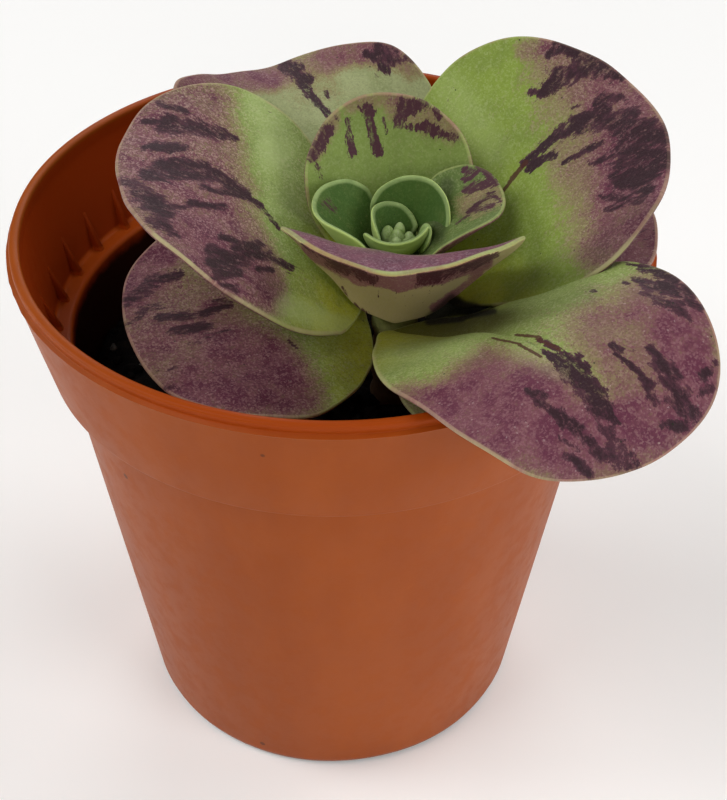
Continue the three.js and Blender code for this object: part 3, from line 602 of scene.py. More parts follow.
    # Pale margin
    if core:
        edge = linear(CORE_EDGE)
    elif name == "leaf_inner_right":
        edge = linear(LIME_EDGE)
    elif shows_under:
        edge = f.mix(f.band(blush, 0.3, 0.9), linear(LIME_EDGE), linear(FRONT_EDGE))
    else:
        edge = f.mix(f.band(blush + (patchy - 0.5) * 0.8, 0.15, 0.8), linear(LIME_EDGE), linear(CREAM))
        edge = f.mix(f.band(patchy, 0.48, 0.6) * 0.6, edge, linear(PINK_EDGE))
    width = 0.3 if core or shows_under else 0.07
    pale = f.band(margin, width, 0.1 * width)
    pale = pale * (f.band(facing, -0.9, -0.4) if shows_under else f.band(facing, -0.35, 0.05))
    pale = pale * (0.7 + 0.3 * f.band(patchy, 0.4, 0.6)) * (1.0 - f.band(stain, 0.15, 0.5) * 0.8)
    colour = f.mix(pale * (0.9 if shows_under else 0.6), colour, edge)
    drawn = f.band(margin + (grain - 0.5) * 0.2, 0.22, 0.04) * f.band(facing, -0.3, 0.15) * f.store("rim")
    colour = f.mix(drawn, colour, linear(RIM_CREAM))

    # Painted shade: places in shade turn dark olive, near black in the deep gaps between the leaves
    colour = f.mix(f.band(0.0 - tone, 0.0, 1.0), colour, linear(SHADE_OLIVE))
    height = grain * 0.7 + other_lot * 0.3 + veins * 0.5
    return f.finish(
        Base_Color=colour,
        Roughness=0.62 - frosting * 0.16,
        Normal=f.relief(height, 0.00007, 0.9),
        Subsurface_Weight=0.08,
        Subsurface_Radius=(1.0, 0.9, 0.35),
        Subsurface_Scale=0.0006,
        Sheen_Weight=0.03,
        Sheen_Roughness=0.5,
        Specular_IOR_Level=0.2,
    )


def pot_finish():
    """Injection-moulded terracotta-coloured plastic, slightly dusty, with painted light on the lip and the
    ledge and painted shade inside.
    """
    f = Finish("pot_plastic")
    place = f.add("ShaderNodeTexCoord", {}, {}, "Object")
    x = f.axis(place, "X") * PER_METRE
    y = f.axis(place, "Y") * PER_METRE
    z = f.axis(place, "Z") * PER_METRE
    where = f.point(x, y, z)
    smears = f.cloud(f.point(x * 0.16, y * 0.16, z * 0.05), 1.0, 4.0, 0.6)
    dust = f.cloud(where, 0.5, 5.0, 0.65)
    speckle = f.cloud(where, 3.5, 2.0, 0.6)
    colour = f.mix(f.band(smears, 0.3, 0.7), linear(PLASTIC), linear(PLASTIC_WARM))
    colour = f.mix(f.band(dust, 0.55, 0.8) * 0.25, colour, linear(PLASTIC_DUSTY))
    colour = f.mix(f.band(speckle, 0.62, 0.75) * 0.12, colour, linear(PLASTIC_SPECKLE))

    # Painted shade and reflected light: the inside is deeper and redder in colour, and almost black from the
    # ledge down
    radius = f.add("ShaderNodeMath", {"operation": "SQRT"}, [x * x + y * y])
    body_edge = z * ((BODY_TOP_RADIUS - BASE_RADIUS) / COLLAR_FOOT_HEIGHT) + BASE_RADIUS
    collar_edge = (z - COLLAR_FOOT_HEIGHT) * COLLAR_SLOPE + COLLAR_FOOT_RADIUS
    in_collar = f.band(z, COLLAR_FOOT_HEIGHT, COLLAR_FOOT_HEIGHT + 0.1)
    wall = body_edge + (collar_edge - body_edge) * in_collar
    inside = f.band(wall - radius, 0.3, 0.5) * f.band(z, LIP_HEIGHT - 0.2, LIP_HEIGHT - 0.6)
    colour = f.mix(inside, colour, linear(PLASTIC_INSIDE_SHADE))
    # Painted light: the left of the lip gets a colour of its own for the light falling on it
    lit_left_lip = f.band(z, FLASH_HEIGHT - 0.2, FLASH_HEIGHT + 0.3) * f.band(x, -28.0, -8.0)
    colour = f.mix(lit_left_lip * 0.8, colour, linear(PLASTIC_LIT_LIP))
    # Painted light: the top of the inner ledge is a brighter orange where light falls on it
    above = f.band(z, LEDGE_HEIGHT - 0.5, LEDGE_HEIGHT - 0.1)
    below = f.band(z, LEDGE_HEIGHT + 0.5, LEDGE_HEIGHT + 0.15)
    colour = f.mix(above * below * inside * 0.7, colour, linear(PLASTIC_LIT_LEDGE))
    # Painted shade: inside, the wall turns almost black from the ledge down
    deep_shade = f.band(z + (dust - 0.5) * 1.6, LEDGE_HEIGHT - 0.1, LEDGE_HEIGHT - 1.4) * inside
    colour = f.mix(deep_shade * 0.95, colour, linear(PLASTIC_DEEP_SHADE))
    specks = f.band(0.055 - f.cells(where, 0.16), 0.0, 0.02)
    colour = f.mix(specks * 0.75, colour, linear(PLASTIC_SPECK))
    ripple = f.cloud(f.point(x * 0.5, y * 0.5, z * 0.25), 1.0, 2.0)
    return f.finish(
        Base_Color=colour,
        Roughness=0.42 + f.band(dust, 0.4, 0.8) * 0.14,
        Normal=f.relief(ripple * 0.7 + speckle * 0.12, 0.00008, 0.6),
        Specular_IOR_Level=0.1,
        Subsurface_Weight=0.05,
        Subsurface_Radius=(1.0, 0.35, 0.12),
        Subsurface_Scale=0.001,
    )


def soil_finish(name, dark, light):
    f = Finish(name)
    place = f.add("ShaderNodeTexCoord", {}, {}, "Object")
    clods = f.cloud(place, 900.0, 5.0, 0.65)
    grit = f.cloud(place, 4200.0, 3.0, 0.6)
    colour = f.mix(f.band(clods + (grit - 0.5) * 0.5, 0.4, 0.75), linear(dark), linear(light))
    return f.finish(
        Base_Color=colour,
        Roughness=0.92,
        Normal=f.relief(clods + grit * 0.5, 0.0003),
        Specular_IOR_Level=0.2,
    )


def stem_finish():
    f = Finish("stem_skin")
    place = f.add("ShaderNodeTexCoord", {}, {}, "Object")
    z = f.axis(place, "Z") * PER_METRE
    bark = f.cloud(place, 1100.0, 4.0, 0.6)
    fibres = f.cloud(place, 3500.0, 3.0, 0.6)
    height = f.band(z + (bark - 0.5) * 6.0, 38.0, 45.0)
    colour = f.mix(height, linear(STEM_BROWN), linear(STEM_GREEN))
    colour = f.mix(f.band(fibres, 0.5, 0.75) * 0.4, colour, linear(STEM_FIBRE))
    return f.finish(Base_Color=colour, Roughness=0.75, Normal=f.relief(bark + fibres * 0.4, 0.0002))


def bud_finish():
    f = Finish("bud_skin")
    place = f.add("ShaderNodeTexCoord", {}, {}, "Object")
    down = f.cloud(place, 5200.0, 3.0, 0.6)
    tone = f.cloud(place, 900.0, 2.0)
    colour = f.mix(f.band(tone, 0.35, 0.65), linear(BUD_GREEN), linear(BUD_PALE))
    colour = f.mix(f.band(down, 0.45, 0.75) * 0.45, colour, linear(BUD_DOWN))
    return f.finish(
        Base_Color=colour,
        Roughness=0.6,
        Normal=f.relief(down, 0.00005),
        Subsurface_Weight=0.15,
        Subsurface_Radius=(0.8, 1.0, 0.4),
        Subsurface_Scale=0.0008,
    )


def floor_finish():
    f = Finish("pale_floor")
    place = f.add("ShaderNodeTexCoord", {}, {}, "Object")
    tone = f.cloud(place, 3.0, 3.0)
    colour = f.mix(tone, linear(FLOOR_GREY), linear(FLOOR_WHITE))
    return f.finish(Base_Color=colour, Roughness=0.9, Emission_Color=WHITE, Emission_Strength=FLOOR_GLOW)


# Modelling helpers
def deselect():
    if bpy.context.object and bpy.context.object.mode != "OBJECT":
        bpy.ops.object.mode_set(mode="OBJECT")
    bpy.ops.object.select_all(action="DESELECT")


def pick(piece):
    deselect()
    piece.select_set(True)
    bpy.context.view_layer.objects.active = piece


def points_of(piece):
    """The piece's points in millimetres."""
    flat = np.zeros(len(piece.data.vertices) * 3)
    piece.data.vertices.foreach_get("co", flat)
    return flat.reshape(-1, 3) / MM


def place_points(piece, points):
    piece.data.vertices.foreach_set("co", (points * MM).ravel())
    piece.data.update()


def settle(piece, name, finish, node):
    """Names a finished piece, gives it its finish and sets it on the plant's one body."""
    pick(piece)
    bpy.ops.object.transform_apply(location=True, rotation=True, scale=True)
    piece.name = name
    piece.data.name = name
    piece.data.materials.clear()
    piece.data.materials.append(finish)
    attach(piece, "root")
    if node:
        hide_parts(node)


def joined(pieces):
    deselect()
    for piece in pieces:
        piece.select_set(True)
    bpy.context.view_layer.objects.active = pieces[0]
    bpy.ops.object.join()
    return bpy.context.object


def outer_radius(height):
    along = (height - COLLAR_FOOT_HEIGHT) / (FLASH_HEIGHT - COLLAR_FOOT_HEIGHT)
    return COLLAR_FOOT_RADIUS + (FLASH_RADIUS - COLLAR_FOOT_RADIUS) * along


def body_radius(height):
    return BASE_RADIUS + (BODY_TOP_RADIUS - BASE_RADIUS) * height / COLLAR_FOOT_HEIGHT


def rounded(profile):
    """Rounds each corner of a profile that has a third number, its radius."""
    points = []
    for i, corner in enumerate(profile):
        if len(corner) < 3:
            points.append(corner)
            continue
        here = Vector(corner[:2])
        before = Vector(profile[i - 1][:2])
        after = Vector(profile[(i + 1) % len(profile)][:2])
        start = here + (before - here).normalized() * min(corner[2], (before - here).length * 0.48)
        end = here + (after - here).normalized() * min(corner[2], (after - here).length * 0.48)
        for k in range(CORNER_STEPS + 1):
            t = k / CORNER_STEPS
            points.append(tuple((1 - t) ** 2 * start + 2 * t * (1 - t) * here + t ** 2 * end))
    return points


def make_pot(finish):
    ledge_radius = outer_radius(LEDGE_HEIGHT) - COLLAR_WALL
    profile = rounded([
        (HUB_RADIUS, 0.0),
        (BASE_RADIUS - 0.2, 0.0, 1.1),
        (BODY_TOP_RADIUS, COLLAR_FOOT_HEIGHT, 0.25),
        (COLLAR_FOOT_RADIUS, COLLAR_FOOT_HEIGHT, 0.35),
        (outer_radius(COLLAR_MIDDLE), COLLAR_MIDDLE),
        (FLASH_RADIUS - 0.06, FLASH_HEIGHT - 0.14, 0.05),
        (FLASH_RADIUS + 0.1, FLASH_HEIGHT, 0.08),
        (LIP_OUTER - 0.07, FLASH_HEIGHT + 0.2, 0.1),
        (LIP_OUTER + 0.04, FLASH_HEIGHT + 0.6, 0.2),
        (LIP_OUTER - 0.02, LIP_HEIGHT, 0.4),
        (LIP_INNER, LIP_HEIGHT, 0.3),
        (LIP_INNER, FLASH_HEIGHT - 0.5, 0.4),
        (ledge_radius, LEDGE_HEIGHT, 0.35),
        (BODY_TOP_RADIUS - BODY_WALL, LEDGE_HEIGHT, 0.45),
        (body_radius(BODY_MIDDLE) - BODY_WALL, BODY_MIDDLE),
        (body_radius(FLOOR_THICKNESS) - BODY_WALL, FLOOR_THICKNESS, 1.2),
        (HUB_RADIUS, FLOOR_THICKNESS),
    ])
    deselect()
    radius, height = profile[0]
    bpy.ops.mesh.primitive_circle_add(vertices=POT_SIDES, radius=radius * MM, location=(0, 0, height * MM))
    pot = bpy.context.object
    bpy.ops.object.mode_set(mode="EDIT")
    bpy.ops.mesh.select_all(action="SELECT")
    bpy.ops.mesh.edge_face_add()
    bpy.ops.mesh.select_mode(type="EDGE")
    for (near, low), (far, high) in zip(profile, profile[1:]):
        bpy.ops.mesh.extrude_edges_move(TRANSFORM_OT_translate={"value": (0, 0, (high - low) * MM)})
        grow = far / near
        bpy.ops.transform.resize(value=(grow, grow, 1), center_override=(0, 0, high * MM))
    bpy.ops.mesh.edge_face_add()
    bpy.ops.mesh.select_all(action="SELECT")
    bpy.ops.mesh.normals_make_consistent(inside=False)
    bpy.ops.object.mode_set(mode="OBJECT")
    pick(pot)
    bpy.ops.object.transform_apply(location=True, rotation=True, scale=True)
    roughen_moulding(pot)
    drill_drains(pot)
    pot = joined([pot] + stacking_ribs())
    pick(pot)
    bpy.ops.object.shade_smooth_by_angle(angle=math.radians(SMOOTH_ANGLE))
    settle(pot, "pot_shell", finish, "pot")


def roughen_moulding(pot):
    """The moulding line under the lip is a thin ragged flash, and the wall isn't perfectly round."""
    points = points_of(pot)
    for i, (x, y, z) in enumerate(points):
        turn = math.atan2(y, x)
        radius = math.hypot(x, y)
        if radius < BASE_RADIUS / 2:
            continue
        push = 0.05 * noise.noise((2.2 * math.cos(turn), 2.2 * math.sin(turn), z * 0.03))
        if abs(z - FLASH_HEIGHT) < 0.1 and radius > FLASH_RADIUS:
            ragged = noise.noise((30 * math.cos(turn), 30 * math.sin(turn), 4.0))
            fine = noise.noise((90 * math.cos(turn), 90 * math.sin(turn), 9.0))
            push += 0.06 * ragged + 0.04 * fine
            points[i, 2] += 0.07 * ragged + 0.04 * fine
        points[i, 0] += push * math.cos(turn)
        points[i, 1] += push * math.sin(turn)
    place_points(pot, points)


def drill_drains(pot):
    for k in range(DRAIN_COUNT):
        angle = (k + 0.5) * 2 * math.pi / DRAIN_COUNT
        spot = (DRAIN_CIRCLE * MM * math.cos(angle), DRAIN_CIRCLE * MM * math.sin(angle), 0)
        deselect()
        bpy.ops.mesh.primitive_cylinder_add(
            vertices=DRAIN_SIDES, radius=DRAIN_RADIUS * MM, depth=DRILL_LENGTH * MM, location=spot)
        drill = bpy.context.object
        pick(pot)
        cut = pot.modifiers.new("drain", "BOOLEAN")
        cut.operation = "DIFFERENCE"
        cut.object = drill
        bpy.ops.object.modifier_apply(modifier=cut.name)
        bpy.data.objects.remove(drill)


def stacking_ribs():
    """Thin upright webs on the inner ledge, which keep stacked pots apart."""
    wall_foot = outer_radius(LEDGE_HEIGHT) - COLLAR_WALL
    wall_top = outer_radius(LEDGE_HEIGHT + RIB_HEIGHT) - COLLAR_WALL
    deselect()
    bpy.ops.mesh.primitive_cube_add(size=MM)
    rib = bpy.context.object
    points = points_of(rib)
    shaped = points.copy()
    for i, (x, y, z) in enumerate(points):
        top = z > 0
        outer = x > 0
        wall = wall_top if top else wall_foot
        depth = RIB_TOP_DEPTH if top else RIB_DEPTH
        shaped[i, 0] = wall + (RIB_SINK if outer else -depth)
        shaped[i, 1] = RIB_THICKNESS * y * (RIB_TOP_SHARE if top else 1.0)
        shaped[i, 2] = LEDGE_HEIGHT + (RIB_HEIGHT if top else -RIB_SINK)
    place_points(rib, shaped)
    pick(rib)
    soften = rib.modifiers.new("soften", "BEVEL")
    soften.width = RIB_SOFTENING * MM
    soften.segments = 2
    bpy.ops.object.modifier_apply(modifier=soften.name)
    ribs = []
    for k in range(RIB_COUNT):
        copy = rib.copy()
        copy.data = rib.data.copy()
        copy.data.transform(Matrix.Rotation((k + 0.5) * 2 * math.pi / RIB_COUNT, 4, "Z"))
        bpy.context.scene.collection.objects.link(copy)
        ribs.append(copy)
    bpy.data.objects.remove(rib)
    return ribs


def soil_surface(x, y):
    swell = math.sin(0.31 * x + 0.6) * math.cos(0.27 * y - 0.4) + 0.5 * math.sin(0.7 * x - 0.5 * y)
    lumps = noise.noise((0.45 * x, 0.45 * y, 3.0)) + 0.5 * noise.noise((1.3 * x, 1.3 * y, 8.0))
    return SOIL_HEIGHT + 0.5 * swell + 0.55 * lumps


def make_soil(finish, grain_finish):
    deselect()
    bpy.ops.mesh.primitive_uv_sphere_add(segments=SOIL_SIDES, ring_count=SOIL_SIDES, radius=MM)
    soil = bpy.context.object
    points = points_of(soil)
    shaped = points.copy()
    side_top = SOIL_HEIGHT - SOIL_EDGE_DROP
    side_foot = FLOOR_THICKNESS + SOIL_FLOOR_GAP
    for i, (x, y, z) in enumerate(points):
        polar = math.acos(max(-1.0, min(1.0, z)))
        turn = math.atan2(y, x)
        if polar <= math.pi / 2:
            radius = (body_radius(side_top) - BODY_WALL - SOIL_TOP_GAP) * polar / (math.pi / 2)
            shaped[i] = (radius * math.cos(turn), radius * math.sin(turn), 0)
            shaped[i, 2] = soil_surface(shaped[i, 0], shaped[i, 1])
        else:
            down = (polar - math.pi / 2) / (math.pi / 2)
            height = side_top + (side_foot - side_top) * min(2 * down, 1.0)
            radius = (body_radius(height) - BODY_WALL - SOIL_SIDE_GAP) * min(2 - 2 * down, 1.0)
            shaped[i] = (radius * math.cos(turn), radius * math.sin(turn), height)
    place_points(soil, shaped)
    pick(soil)
    bpy.ops.object.shade_smooth()
    settle(soil, "soil_mix", finish, "soil")

    chance = random.Random(GRAIN_SEED)
    crumbs = scatter_grains(chance, **CRUMBS)
    settle(joined(crumbs), "soil_crumbs", finish, None)
    pale = scatter_grains(chance, **PALE_GRAINS)
    settle(joined(pale), "soil_pale_grains", grain_finish, None)


def scatter_grains(chance, count, sizes):
    """Small angular crumbs that lie on the soil."""
    deselect()
    bpy.ops.mesh.primitive_ico_sphere_add(subdivisions=2, radius=MM)
    grain = bpy.context.object
    bpy.ops.object.shade_smooth()
    rest = points_of(grain)
    limit = body_radius(SOIL_HEIGHT) - BODY_WALL - GRAIN_MARGIN
    copies = []
    for k in range(count):
        radius = limit * math.sqrt(chance.random())
        turn = chance.uniform(0, 2 * math.pi)
        size = chance.uniform(*sizes)
        x = radius * math.cos(turn)
        y = radius * math.sin(turn)
        copy = grain.copy()
        copy.data = grain.data.copy()
        shift = Vector((k * 1.7, k * 0.9, k * 0.4))
        knobs = np.array([noise.noise(Vector(p) * 1.4 + shift) for p in rest])
        place_points(copy, rest * (1 + 0.55 * knobs)[:, None] * size)
        spin_angle = chance.uniform(0, GRAIN_SPIN)
        spin = Matrix.Rotation(spin_angle, 4, Vector((chance.random(), chance.random(), 0.5)))
        squash = Matrix.Diagonal((1.0, chance.uniform(0.6, 1.0), chance.uniform(0.5, 0.9), 1.0))
        move = Matrix.Translation(Vector((x, y, soil_surface(x, y) + 0.2 * size)) * MM)
        copy.data.transform(move @ spin @ squash)
        bpy.context.scene.collection.objects.link(copy)
        copies.append(copy)
    bpy.data.objects.remove(grain)
    return copies


def make_stem(finish):
    deselect()
    bpy.ops.mesh.primitive_uv_sphere_add(segments=STEM_SIDES, ring_count=STEM_RINGS, radius=MM)
    stem = bpy.context.object
    points = points_of(stem)
    for i, (x, y, z) in enumerate(points):
        turn = math.atan2(y, x)
        polar = math.acos(max(-1.0, min(1.0, z)))
        rise = 1 - polar / math.pi
        height = STEM_FOOT + (STEM_TOP - STEM_FOOT) * rise
        taper = min(1.0, (STEM_TOP - height) / (STEM_TOP - STEM_SHOULDER))
        radius = STEM_RADIUS * (0.38 + 0.62 * taper)
        knots = noise.noise((math.cos(turn), math.sin(turn), height * 0.6))
        radius *= 1 + 0.06 * math.sin(2.6 * height) + 0.1 * knots
        radius *= min(1.0, math.sin(polar) * 6)
        points[i] = (STEM_X + radius * math.cos(turn), STEM_Y + radius * math.sin(turn), height)
    place_points(stem, points)
    pick(stem)
    bpy.ops.object.shade_smooth()
    settle(stem, "stem_stalk", finish, "stem")


def make_bud(finish):
    """The growing tip: rounded leaf buds standing together."""
    pieces = []
    for heading, out, height, radius, tall in BUD_LUMPS:
        deselect()
        bpy.ops.mesh.primitive_uv_sphere_add(segments=BUD_SIDES, ring_count=BUD_RINGS, radius=MM)
        lump = bpy.context.object
        points = points_of(lump)
        tip = 1 - 0.22 * np.clip(points[:, 2], 0, 1) ** 2
        turn = math.radians(heading)
        points[:, 0] = STEM_X + out * math.cos(turn) + points[:, 0] * radius * tip
        points[:, 1] = STEM_Y + out * math.sin(turn) + points[:, 1] * radius * tip
        points[:, 2] = height + points[:, 2] * tall
        place_points(lump, points)
        bpy.ops.object.shade_smooth()
        pieces.append(lump)
    settle(joined(pieces), "bud_tip", finish, "bud")


# Leaf blades
def half_width(leaf, along, neck):
    """Half the blade's width at a place along it, as a fraction of the full half width."""
    grow = neck + (1 - neck) * np.sin(np.pi / 2 * np.clip(along / leaf["belly"], 0, 1)) ** SHOULDER_POWER
    left = np.clip((along - leaf["belly"]) / (1 - leaf["belly"]), 0, 1)
    close = np.clip(1 - left ** leaf["blunt"], 0, 1) ** (1 / leaf["blunt"])
    foot = np.sqrt(np.clip(1 - (1 - np.clip(along / BASE_ROUND, 0, 1)) ** 2, 0, 1))
    return foot * np.where(along <= leaf["belly"], grow, close)


def directions(leaf, along):
    """The midrib's direction, the blade's left side and its upward normal."""
    heading = np.radians(leaf["heading"] + leaf["turn"] * (along - HEADING_PLACE))
    first, last = leaf["rise"]
    slope = np.radians(first + (last - first) * along + 4 * leaf["arch"] * along * (1 - along))
    ahead = np.stack([np.cos(slope) * np.cos(heading), np.cos(slope) * np.sin(heading), np.sin(slope)], -1)
    side = np.stack([-np.sin(heading), np.cos(heading), 0 * heading], -1)
    lift = np.stack([-np.sin(slope) * np.cos(heading), -np.sin(slope) * np.sin(heading), np.cos(slope)], -1)
    roll = np.radians(leaf["roll"] + leaf["twist"] * along)[..., None]
    return ahead, side * np.cos(roll) + lift * np.sin(roll), lift * np.cos(roll) - side * np.sin(roll)


def sheet(leaf, along, across):
    """Points of the blade's middle sheet: along it from 0 to 1, and millimetres across to the left."""
    steps = (np.arange(MIDRIB_STEPS) + 0.5) / MIDRIB_STEPS
    stride = directions(leaf, steps)[0] * leaf["length"] / MIDRIB_STEPS
    rib = np.vstack([np.zeros(3), np.cumsum(stride, 0)])
    marks = np.linspace(0, 1, MIDRIB_STEPS + 1)
    centre = np.stack([np.interp(along, marks, rib[:, k]) for k in range(3)], -1)
    turn = math.radians(leaf.get("around", leaf["heading"]))
    centre += (STEM_X + leaf["reach"] * math.cos(turn), STEM_Y + leaf["reach"] * math.sin(turn), leaf["base"])
    ahead, side, lift = directions(leaf, along)
    centre += ahead * (np.clip(along - 1, 0, 1) * leaf["length"])[..., None]
    half = leaf["width"] / 2
    bend = half / math.radians(leaf["cup"])
    rise = bend * (1 - np.cos(across / bend))
    ripple = np.sin(2 * np.pi * along + math.radians(leaf["wave_start"]))
    rise = rise + leaf["wave"] * ripple * (across / half) ** 2
    fade = np.clip(1 - along / CREASE_END, 0, 1) ** 0.7
    rise = rise - leaf["crease"] * fade * np.exp(-np.abs(across) / leaf["crease_width"])
    return centre + side * (bend * np.sin(across / bend))[..., None] + lift * rise[..., None]


def disc(leaf, ring, turn):
    """The blade as a disc: ring goes from 0 in the middle to 1 at the edge, turn goes once round."""
    tip = 0.5 + 0.5 * np.cos(turn)
    left = np.sin(turn) >= 0
    shape = np.where(left, half_width(leaf, tip, leaf["neck"][0]), -half_width(leaf, tip, leaf["neck"][1]))
    wide = 0.5 * leaf["width"] * np.where(left, 1 + leaf["lean"], 1 - leaf["lean"])
    uneven = 1 + 0.006 * np.sin(5 * turn + leaf["heading"]) + 0.004 * np.sin(11 * turn + 2 * leaf["heading"])
    inset = 1 - leaf["blade"]["edge"] / min(leaf["length"], leaf["width"])
    reach = ring * inset * uneven
    return 0.5 + reach * (tip - 0.5), reach * wide * shape


def photo_points(points):
    """Where points of the row frame, in millimetres, fall in the photograph."""
    eye, right, up, ahead = camera_axes()
    offset = points - eye
    depth = offset @ ahead
    across = PHOTO_WIDTH / 2 + FOCAL_PIXELS * (offset @ right) / depth
    down = PHOTO_HEIGHT / 2 - FOCAL_PIXELS * (offset @ up) / depth
    return across, down


def line_distance(x, y, start, end):
    """How far places lie from the straight line between two points."""
    run = np.subtract(end, start, dtype=float)
    part = ((x - start[0]) * run[0] + (y - start[1]) * run[1]) / max(run @ run, 1e-9)
    part = np.clip(part, 0, 1)
    return np.hypot(x - start[0] - part * run[0], y - start[1] - part * run[1])


def strokes(across, down, given):
    """How strongly each picture point is covered by strokes, from 0 to 1."""
    cover = np.zeros(len(across))
    for x0, y0, x1, y1, wide, strength in given:
        gap = line_distance(across, down, (x0, y0), (x1, y1)) / wide
        cover = np.maximum(cover, strength / (1 + (gap / STROKE_REACH) ** 3))
    return cover


def washes(across, down, given):
    """Like strokes, with long soft sides that add up."""
    clear = np.ones(len(across))
    for x0, y0, x1, y1, wide, strength in given:
        gap = line_distance(across, down, (x0, y0), (x1, y1)) / wide
        soft = np.clip(1.25 - 0.78 * gap, 0, 1)
        clear = clear * (1 - strength * soft * soft * (3 - 2 * soft))
    return 1 - clear


def keep_values(piece, name, values):
    layer = piece.data.attributes.new(name, "FLOAT", "POINT")
    layer.data.foreach_set("value", values.astype(np.float32))


def edge_distance(leaf, x_flat, across):
    """How far places on the unrolled blade lie from its outline, in millimetres."""
    turns = np.linspace(-np.pi, np.pi, EDGE_STEPS + 1)
    edge_along, edge_across = disc(leaf, np.ones(EDGE_STEPS + 1), turns)
    edge = np.stack([edge_along * leaf["length"], edge_across], -1)
    gap = np.full(len(x_flat), 1e9)
    for start, end in zip(edge, edge[1:]):
        gap = np.minimum(gap, line_distance(x_flat, across, start, end))
    return gap


def keep_marks(piece, leaf, points, on_face):
    """Keeps how strongly the photograph's marks cover each point. Stains and threads are on one face."""
    across, down = photo_points(points)
    keep_values(piece, "stain", strokes(across, down, leaf["stains"]) * on_face)
    keep_values(piece, "rim", washes(across, down, leaf["rims"]))
    keep_values(piece, "thread", strokes(across, down, leaf["threads"]) * on_face)
    keep_values(piece, "blush", washes(across, down, leaf["blushes"]))
    # tone is the painted highlights less the painted shade
    keep_values(piece, "tone", washes(across, down, leaf["glows"]) - washes(across, down, leaf["shades"]))


def unroll(piece, x_flat, across):
    """Lays the blade out flat as its texture coordinates."""
    unrolled = piece.data.uv_layers.new(name="unrolled")
    corners = np.zeros(len(piece.data.loops), np.int32)
    piece.data.loops.foreach_get("vertex_index", corners)
    flat = np.stack([x_flat / UNROLLED, across / UNROLLED + 0.5], -1)[corners]
    unrolled.data.foreach_set("uv", flat.ravel())


def make_leaf(name, given, seed):
    leaf = {**LEAF_DEFAULTS, **given}
    blade = leaf["blade"]
    deselect()
    bpy.ops.mesh.primitive_uv_sphere_add(segments=blade["spokes"], ring_count=blade["rings"], radius=MM)
    piece = bpy.context.object
    bpy.ops.object.mode_set(mode="EDIT")
    bpy.ops.mesh.select_all(action="SELECT")
    bpy.ops.mesh.subdivide(number_cuts=BLADE_CUTS)
    bpy.ops.object.mode_set(mode="OBJECT")
    ball = points_of(piece)
    ball /= np.linalg.norm(ball, axis=1)[:, None]
    polar = np.arccos(np.clip(ball[:, 2], -1, 1))
    turn = np.arctan2(ball[:, 1], ball[:, 0])
    face_end = np.pi / 2 * (1 - RIM_SHARE)
    ring = np.clip(np.minimum(polar, np.pi - polar) / face_end, 0, 1)
    rim = np.clip((polar - face_end) / (np.pi - 2 * face_end), 0, 1) * np.pi
    along, across = disc(leaf, ring, turn)
    here = sheet(leaf, along, across)
    ahead = sheet(leaf, along + NORMAL_STEP, across) - here
    left = sheet(leaf, along, across + NORMAL_STEP) - here
    normal = np.cross(ahead, left)
    normal /= np.linalg.norm(normal, axis=1)[:, None]
    inner_along, inner_across = disc(leaf, np.maximum(ring - RIM_STEP, 0), turn)
    outward = here - sheet(leaf, inner_along, inner_across)
    outward /= np.maximum(np.linalg.norm(outward, axis=1), 1e-9)[:, None]
    body = (blade["middle"] - blade["edge"]) * (1 - ring ** 2) * (1 - TIP_THINNING * along)
    half_thick = 0.5 * (blade["edge"] + body)
    x_flat = along * leaf["length"]
    swell = 0.1 * np.sin(0.62 * x_flat + 0.35 * across + seed)
    swell += 0.06 * np.sin(1.1 * across - 0.5 * x_flat + 2 * seed)
    swell *= min(1.0, leaf["length"] / SWELL_LENGTH)
    points = here + normal * (np.cos(rim) * half_thick + swell)[:, None]
    points += outward * (np.sin(rim) * 0.5 * blade["edge"])[:, None]
    place_points(piece, points)
    bpy.ops.object.shade_smooth()
    keep_values(piece, "margin", edge_distance(leaf, x_flat, across))
    keep_values(piece, "facing", np.cos(rim))
    keep_marks(piece, leaf, points, np.sign(np.cos(rim) + 1e-9) == leaf["painted"])
    unroll(piece, x_flat, across)
    settle(piece, name + "_blade", leaf_finish(name, leaf, seed), name)


# Camera, light and floor
def camera_axes():
    """The camera's place in millimetres, and its right, up and forward directions."""
    rise = math.radians(CAMERA_RISE)
    yaw = math.radians(CAMERA_YAW)
    pitch = math.radians(CAMERA_PITCH)
    back = np.array([0.0, -math.cos(rise), math.sin(rise)])
    eye = np.array(RIM_CENTRE) + CAMERA_DISTANCE * back
    right = np.array([1.0, 0.0, 0.0])
    up = np.cross(right, -back)
    level = -back * math.cos(yaw) + right * math.sin(yaw)
    right = right * math.cos(yaw) + back * math.sin(yaw)
    ahead = level * math.cos(pitch) + up * math.sin(pitch)
    up = up * math.cos(pitch) - level * math.sin(pitch)
    return eye, right, up, ahead


def set_camera():
    eye, right, up, ahead = camera_axes()
    camera = bpy.data.objects.new("camera", bpy.data.cameras.new("camera"))
    bpy.context.scene.collection.objects.link(camera)
    turned = Matrix((right, up, -ahead)).transposed().to_4x4()
    camera.matrix_world = Matrix.Translation(Vector(eye) * MM) @ turned
    camera.data.sensor_width = SENSOR
    camera.data.lens = FOCAL_PIXELS * SENSOR / max(PHOTO_WIDTH, PHOTO_HEIGHT)
    camera.data.clip_start = CAMERA_NEAR
    bpy.context.scene.camera = camera


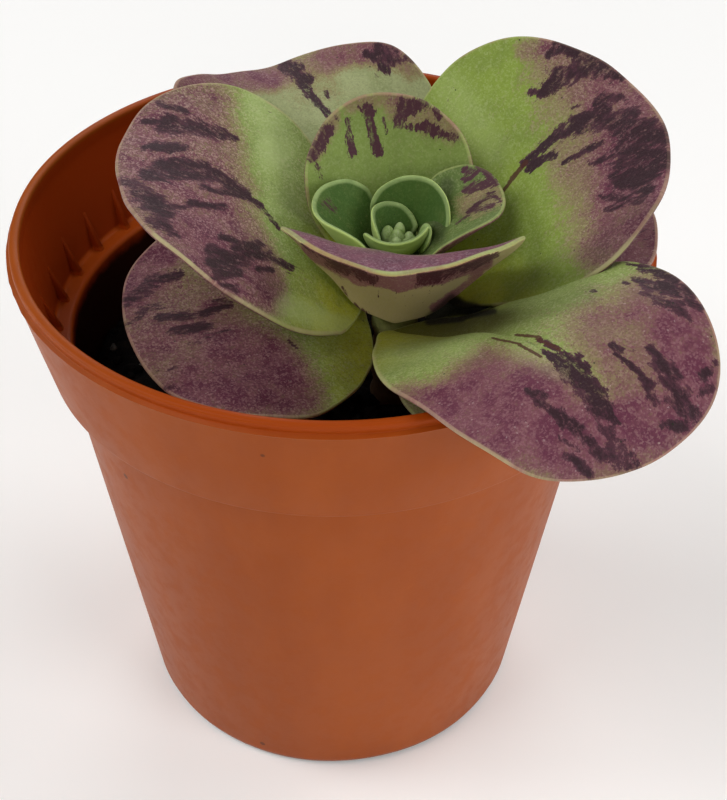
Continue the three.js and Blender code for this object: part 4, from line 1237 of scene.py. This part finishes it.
def add_softbox(name, turn, height, power):
    """A round soft lamp. turn is measured from the front towards the right, height from the floor."""
    turn = math.radians(turn)
    height = math.radians(height)
    out = Vector((math.sin(turn) * math.cos(height), -math.cos(turn) * math.cos(height), math.sin(height)))
    data = bpy.data.lights.new(name, "AREA")
    data.shape = "DISK"
    data.size = SOFTBOX_SIZE
    data.energy = power
    lamp = bpy.data.objects.new(name, data)
    lamp.location = Vector(LIGHT_AIM) + out * SOFTBOX_DISTANCE
    lamp.rotation_euler = (-out).to_track_quat("-Z", "Y").to_euler()
    bpy.context.scene.collection.objects.link(lamp)


def set_light():
    for name, (turn, height, power) in SOFTBOXES.items():
        add_softbox(name, turn, height, power)
    world = bpy.data.worlds.new("studio")
    world.use_nodes = True
    background = world.node_tree.nodes["Background"]
    background.inputs["Color"].default_value = WHITE
    background.inputs["Strength"].default_value = SKY_STRENGTH
    bpy.context.scene.world = world
    bpy.context.scene.view_settings.view_transform = "Standard"
    bpy.context.scene.view_settings.look = "None"


def lay_floor():
    deselect()
    bpy.ops.mesh.primitive_grid_add(x_subdivisions=FLOOR_CUTS, y_subdivisions=FLOOR_CUTS, size=FLOOR_SIZE)
    floor = bpy.context.object
    floor.name = "pale_floor"
    floor.data.materials.append(floor_finish())


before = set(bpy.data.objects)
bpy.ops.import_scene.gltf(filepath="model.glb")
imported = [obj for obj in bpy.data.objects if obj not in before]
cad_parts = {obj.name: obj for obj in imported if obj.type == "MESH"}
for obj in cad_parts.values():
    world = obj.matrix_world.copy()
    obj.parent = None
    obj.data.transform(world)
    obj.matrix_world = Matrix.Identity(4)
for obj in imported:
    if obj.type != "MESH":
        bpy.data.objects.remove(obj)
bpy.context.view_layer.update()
set_camera()
set_light()
lay_floor()
make_pot(pot_finish())
potting_mix = soil_finish("potting_mix", SOIL_DARK, SOIL_BROWN)
make_soil(potting_mix, soil_finish("pale_grain", GRAIN_GREY, GRAIN_PALE))
make_stem(stem_finish())
make_bud(bud_finish())
for order, (leaf_name, leaf_given) in enumerate(LEAVES.items()):
    make_leaf(leaf_name, leaf_given, order + 1)
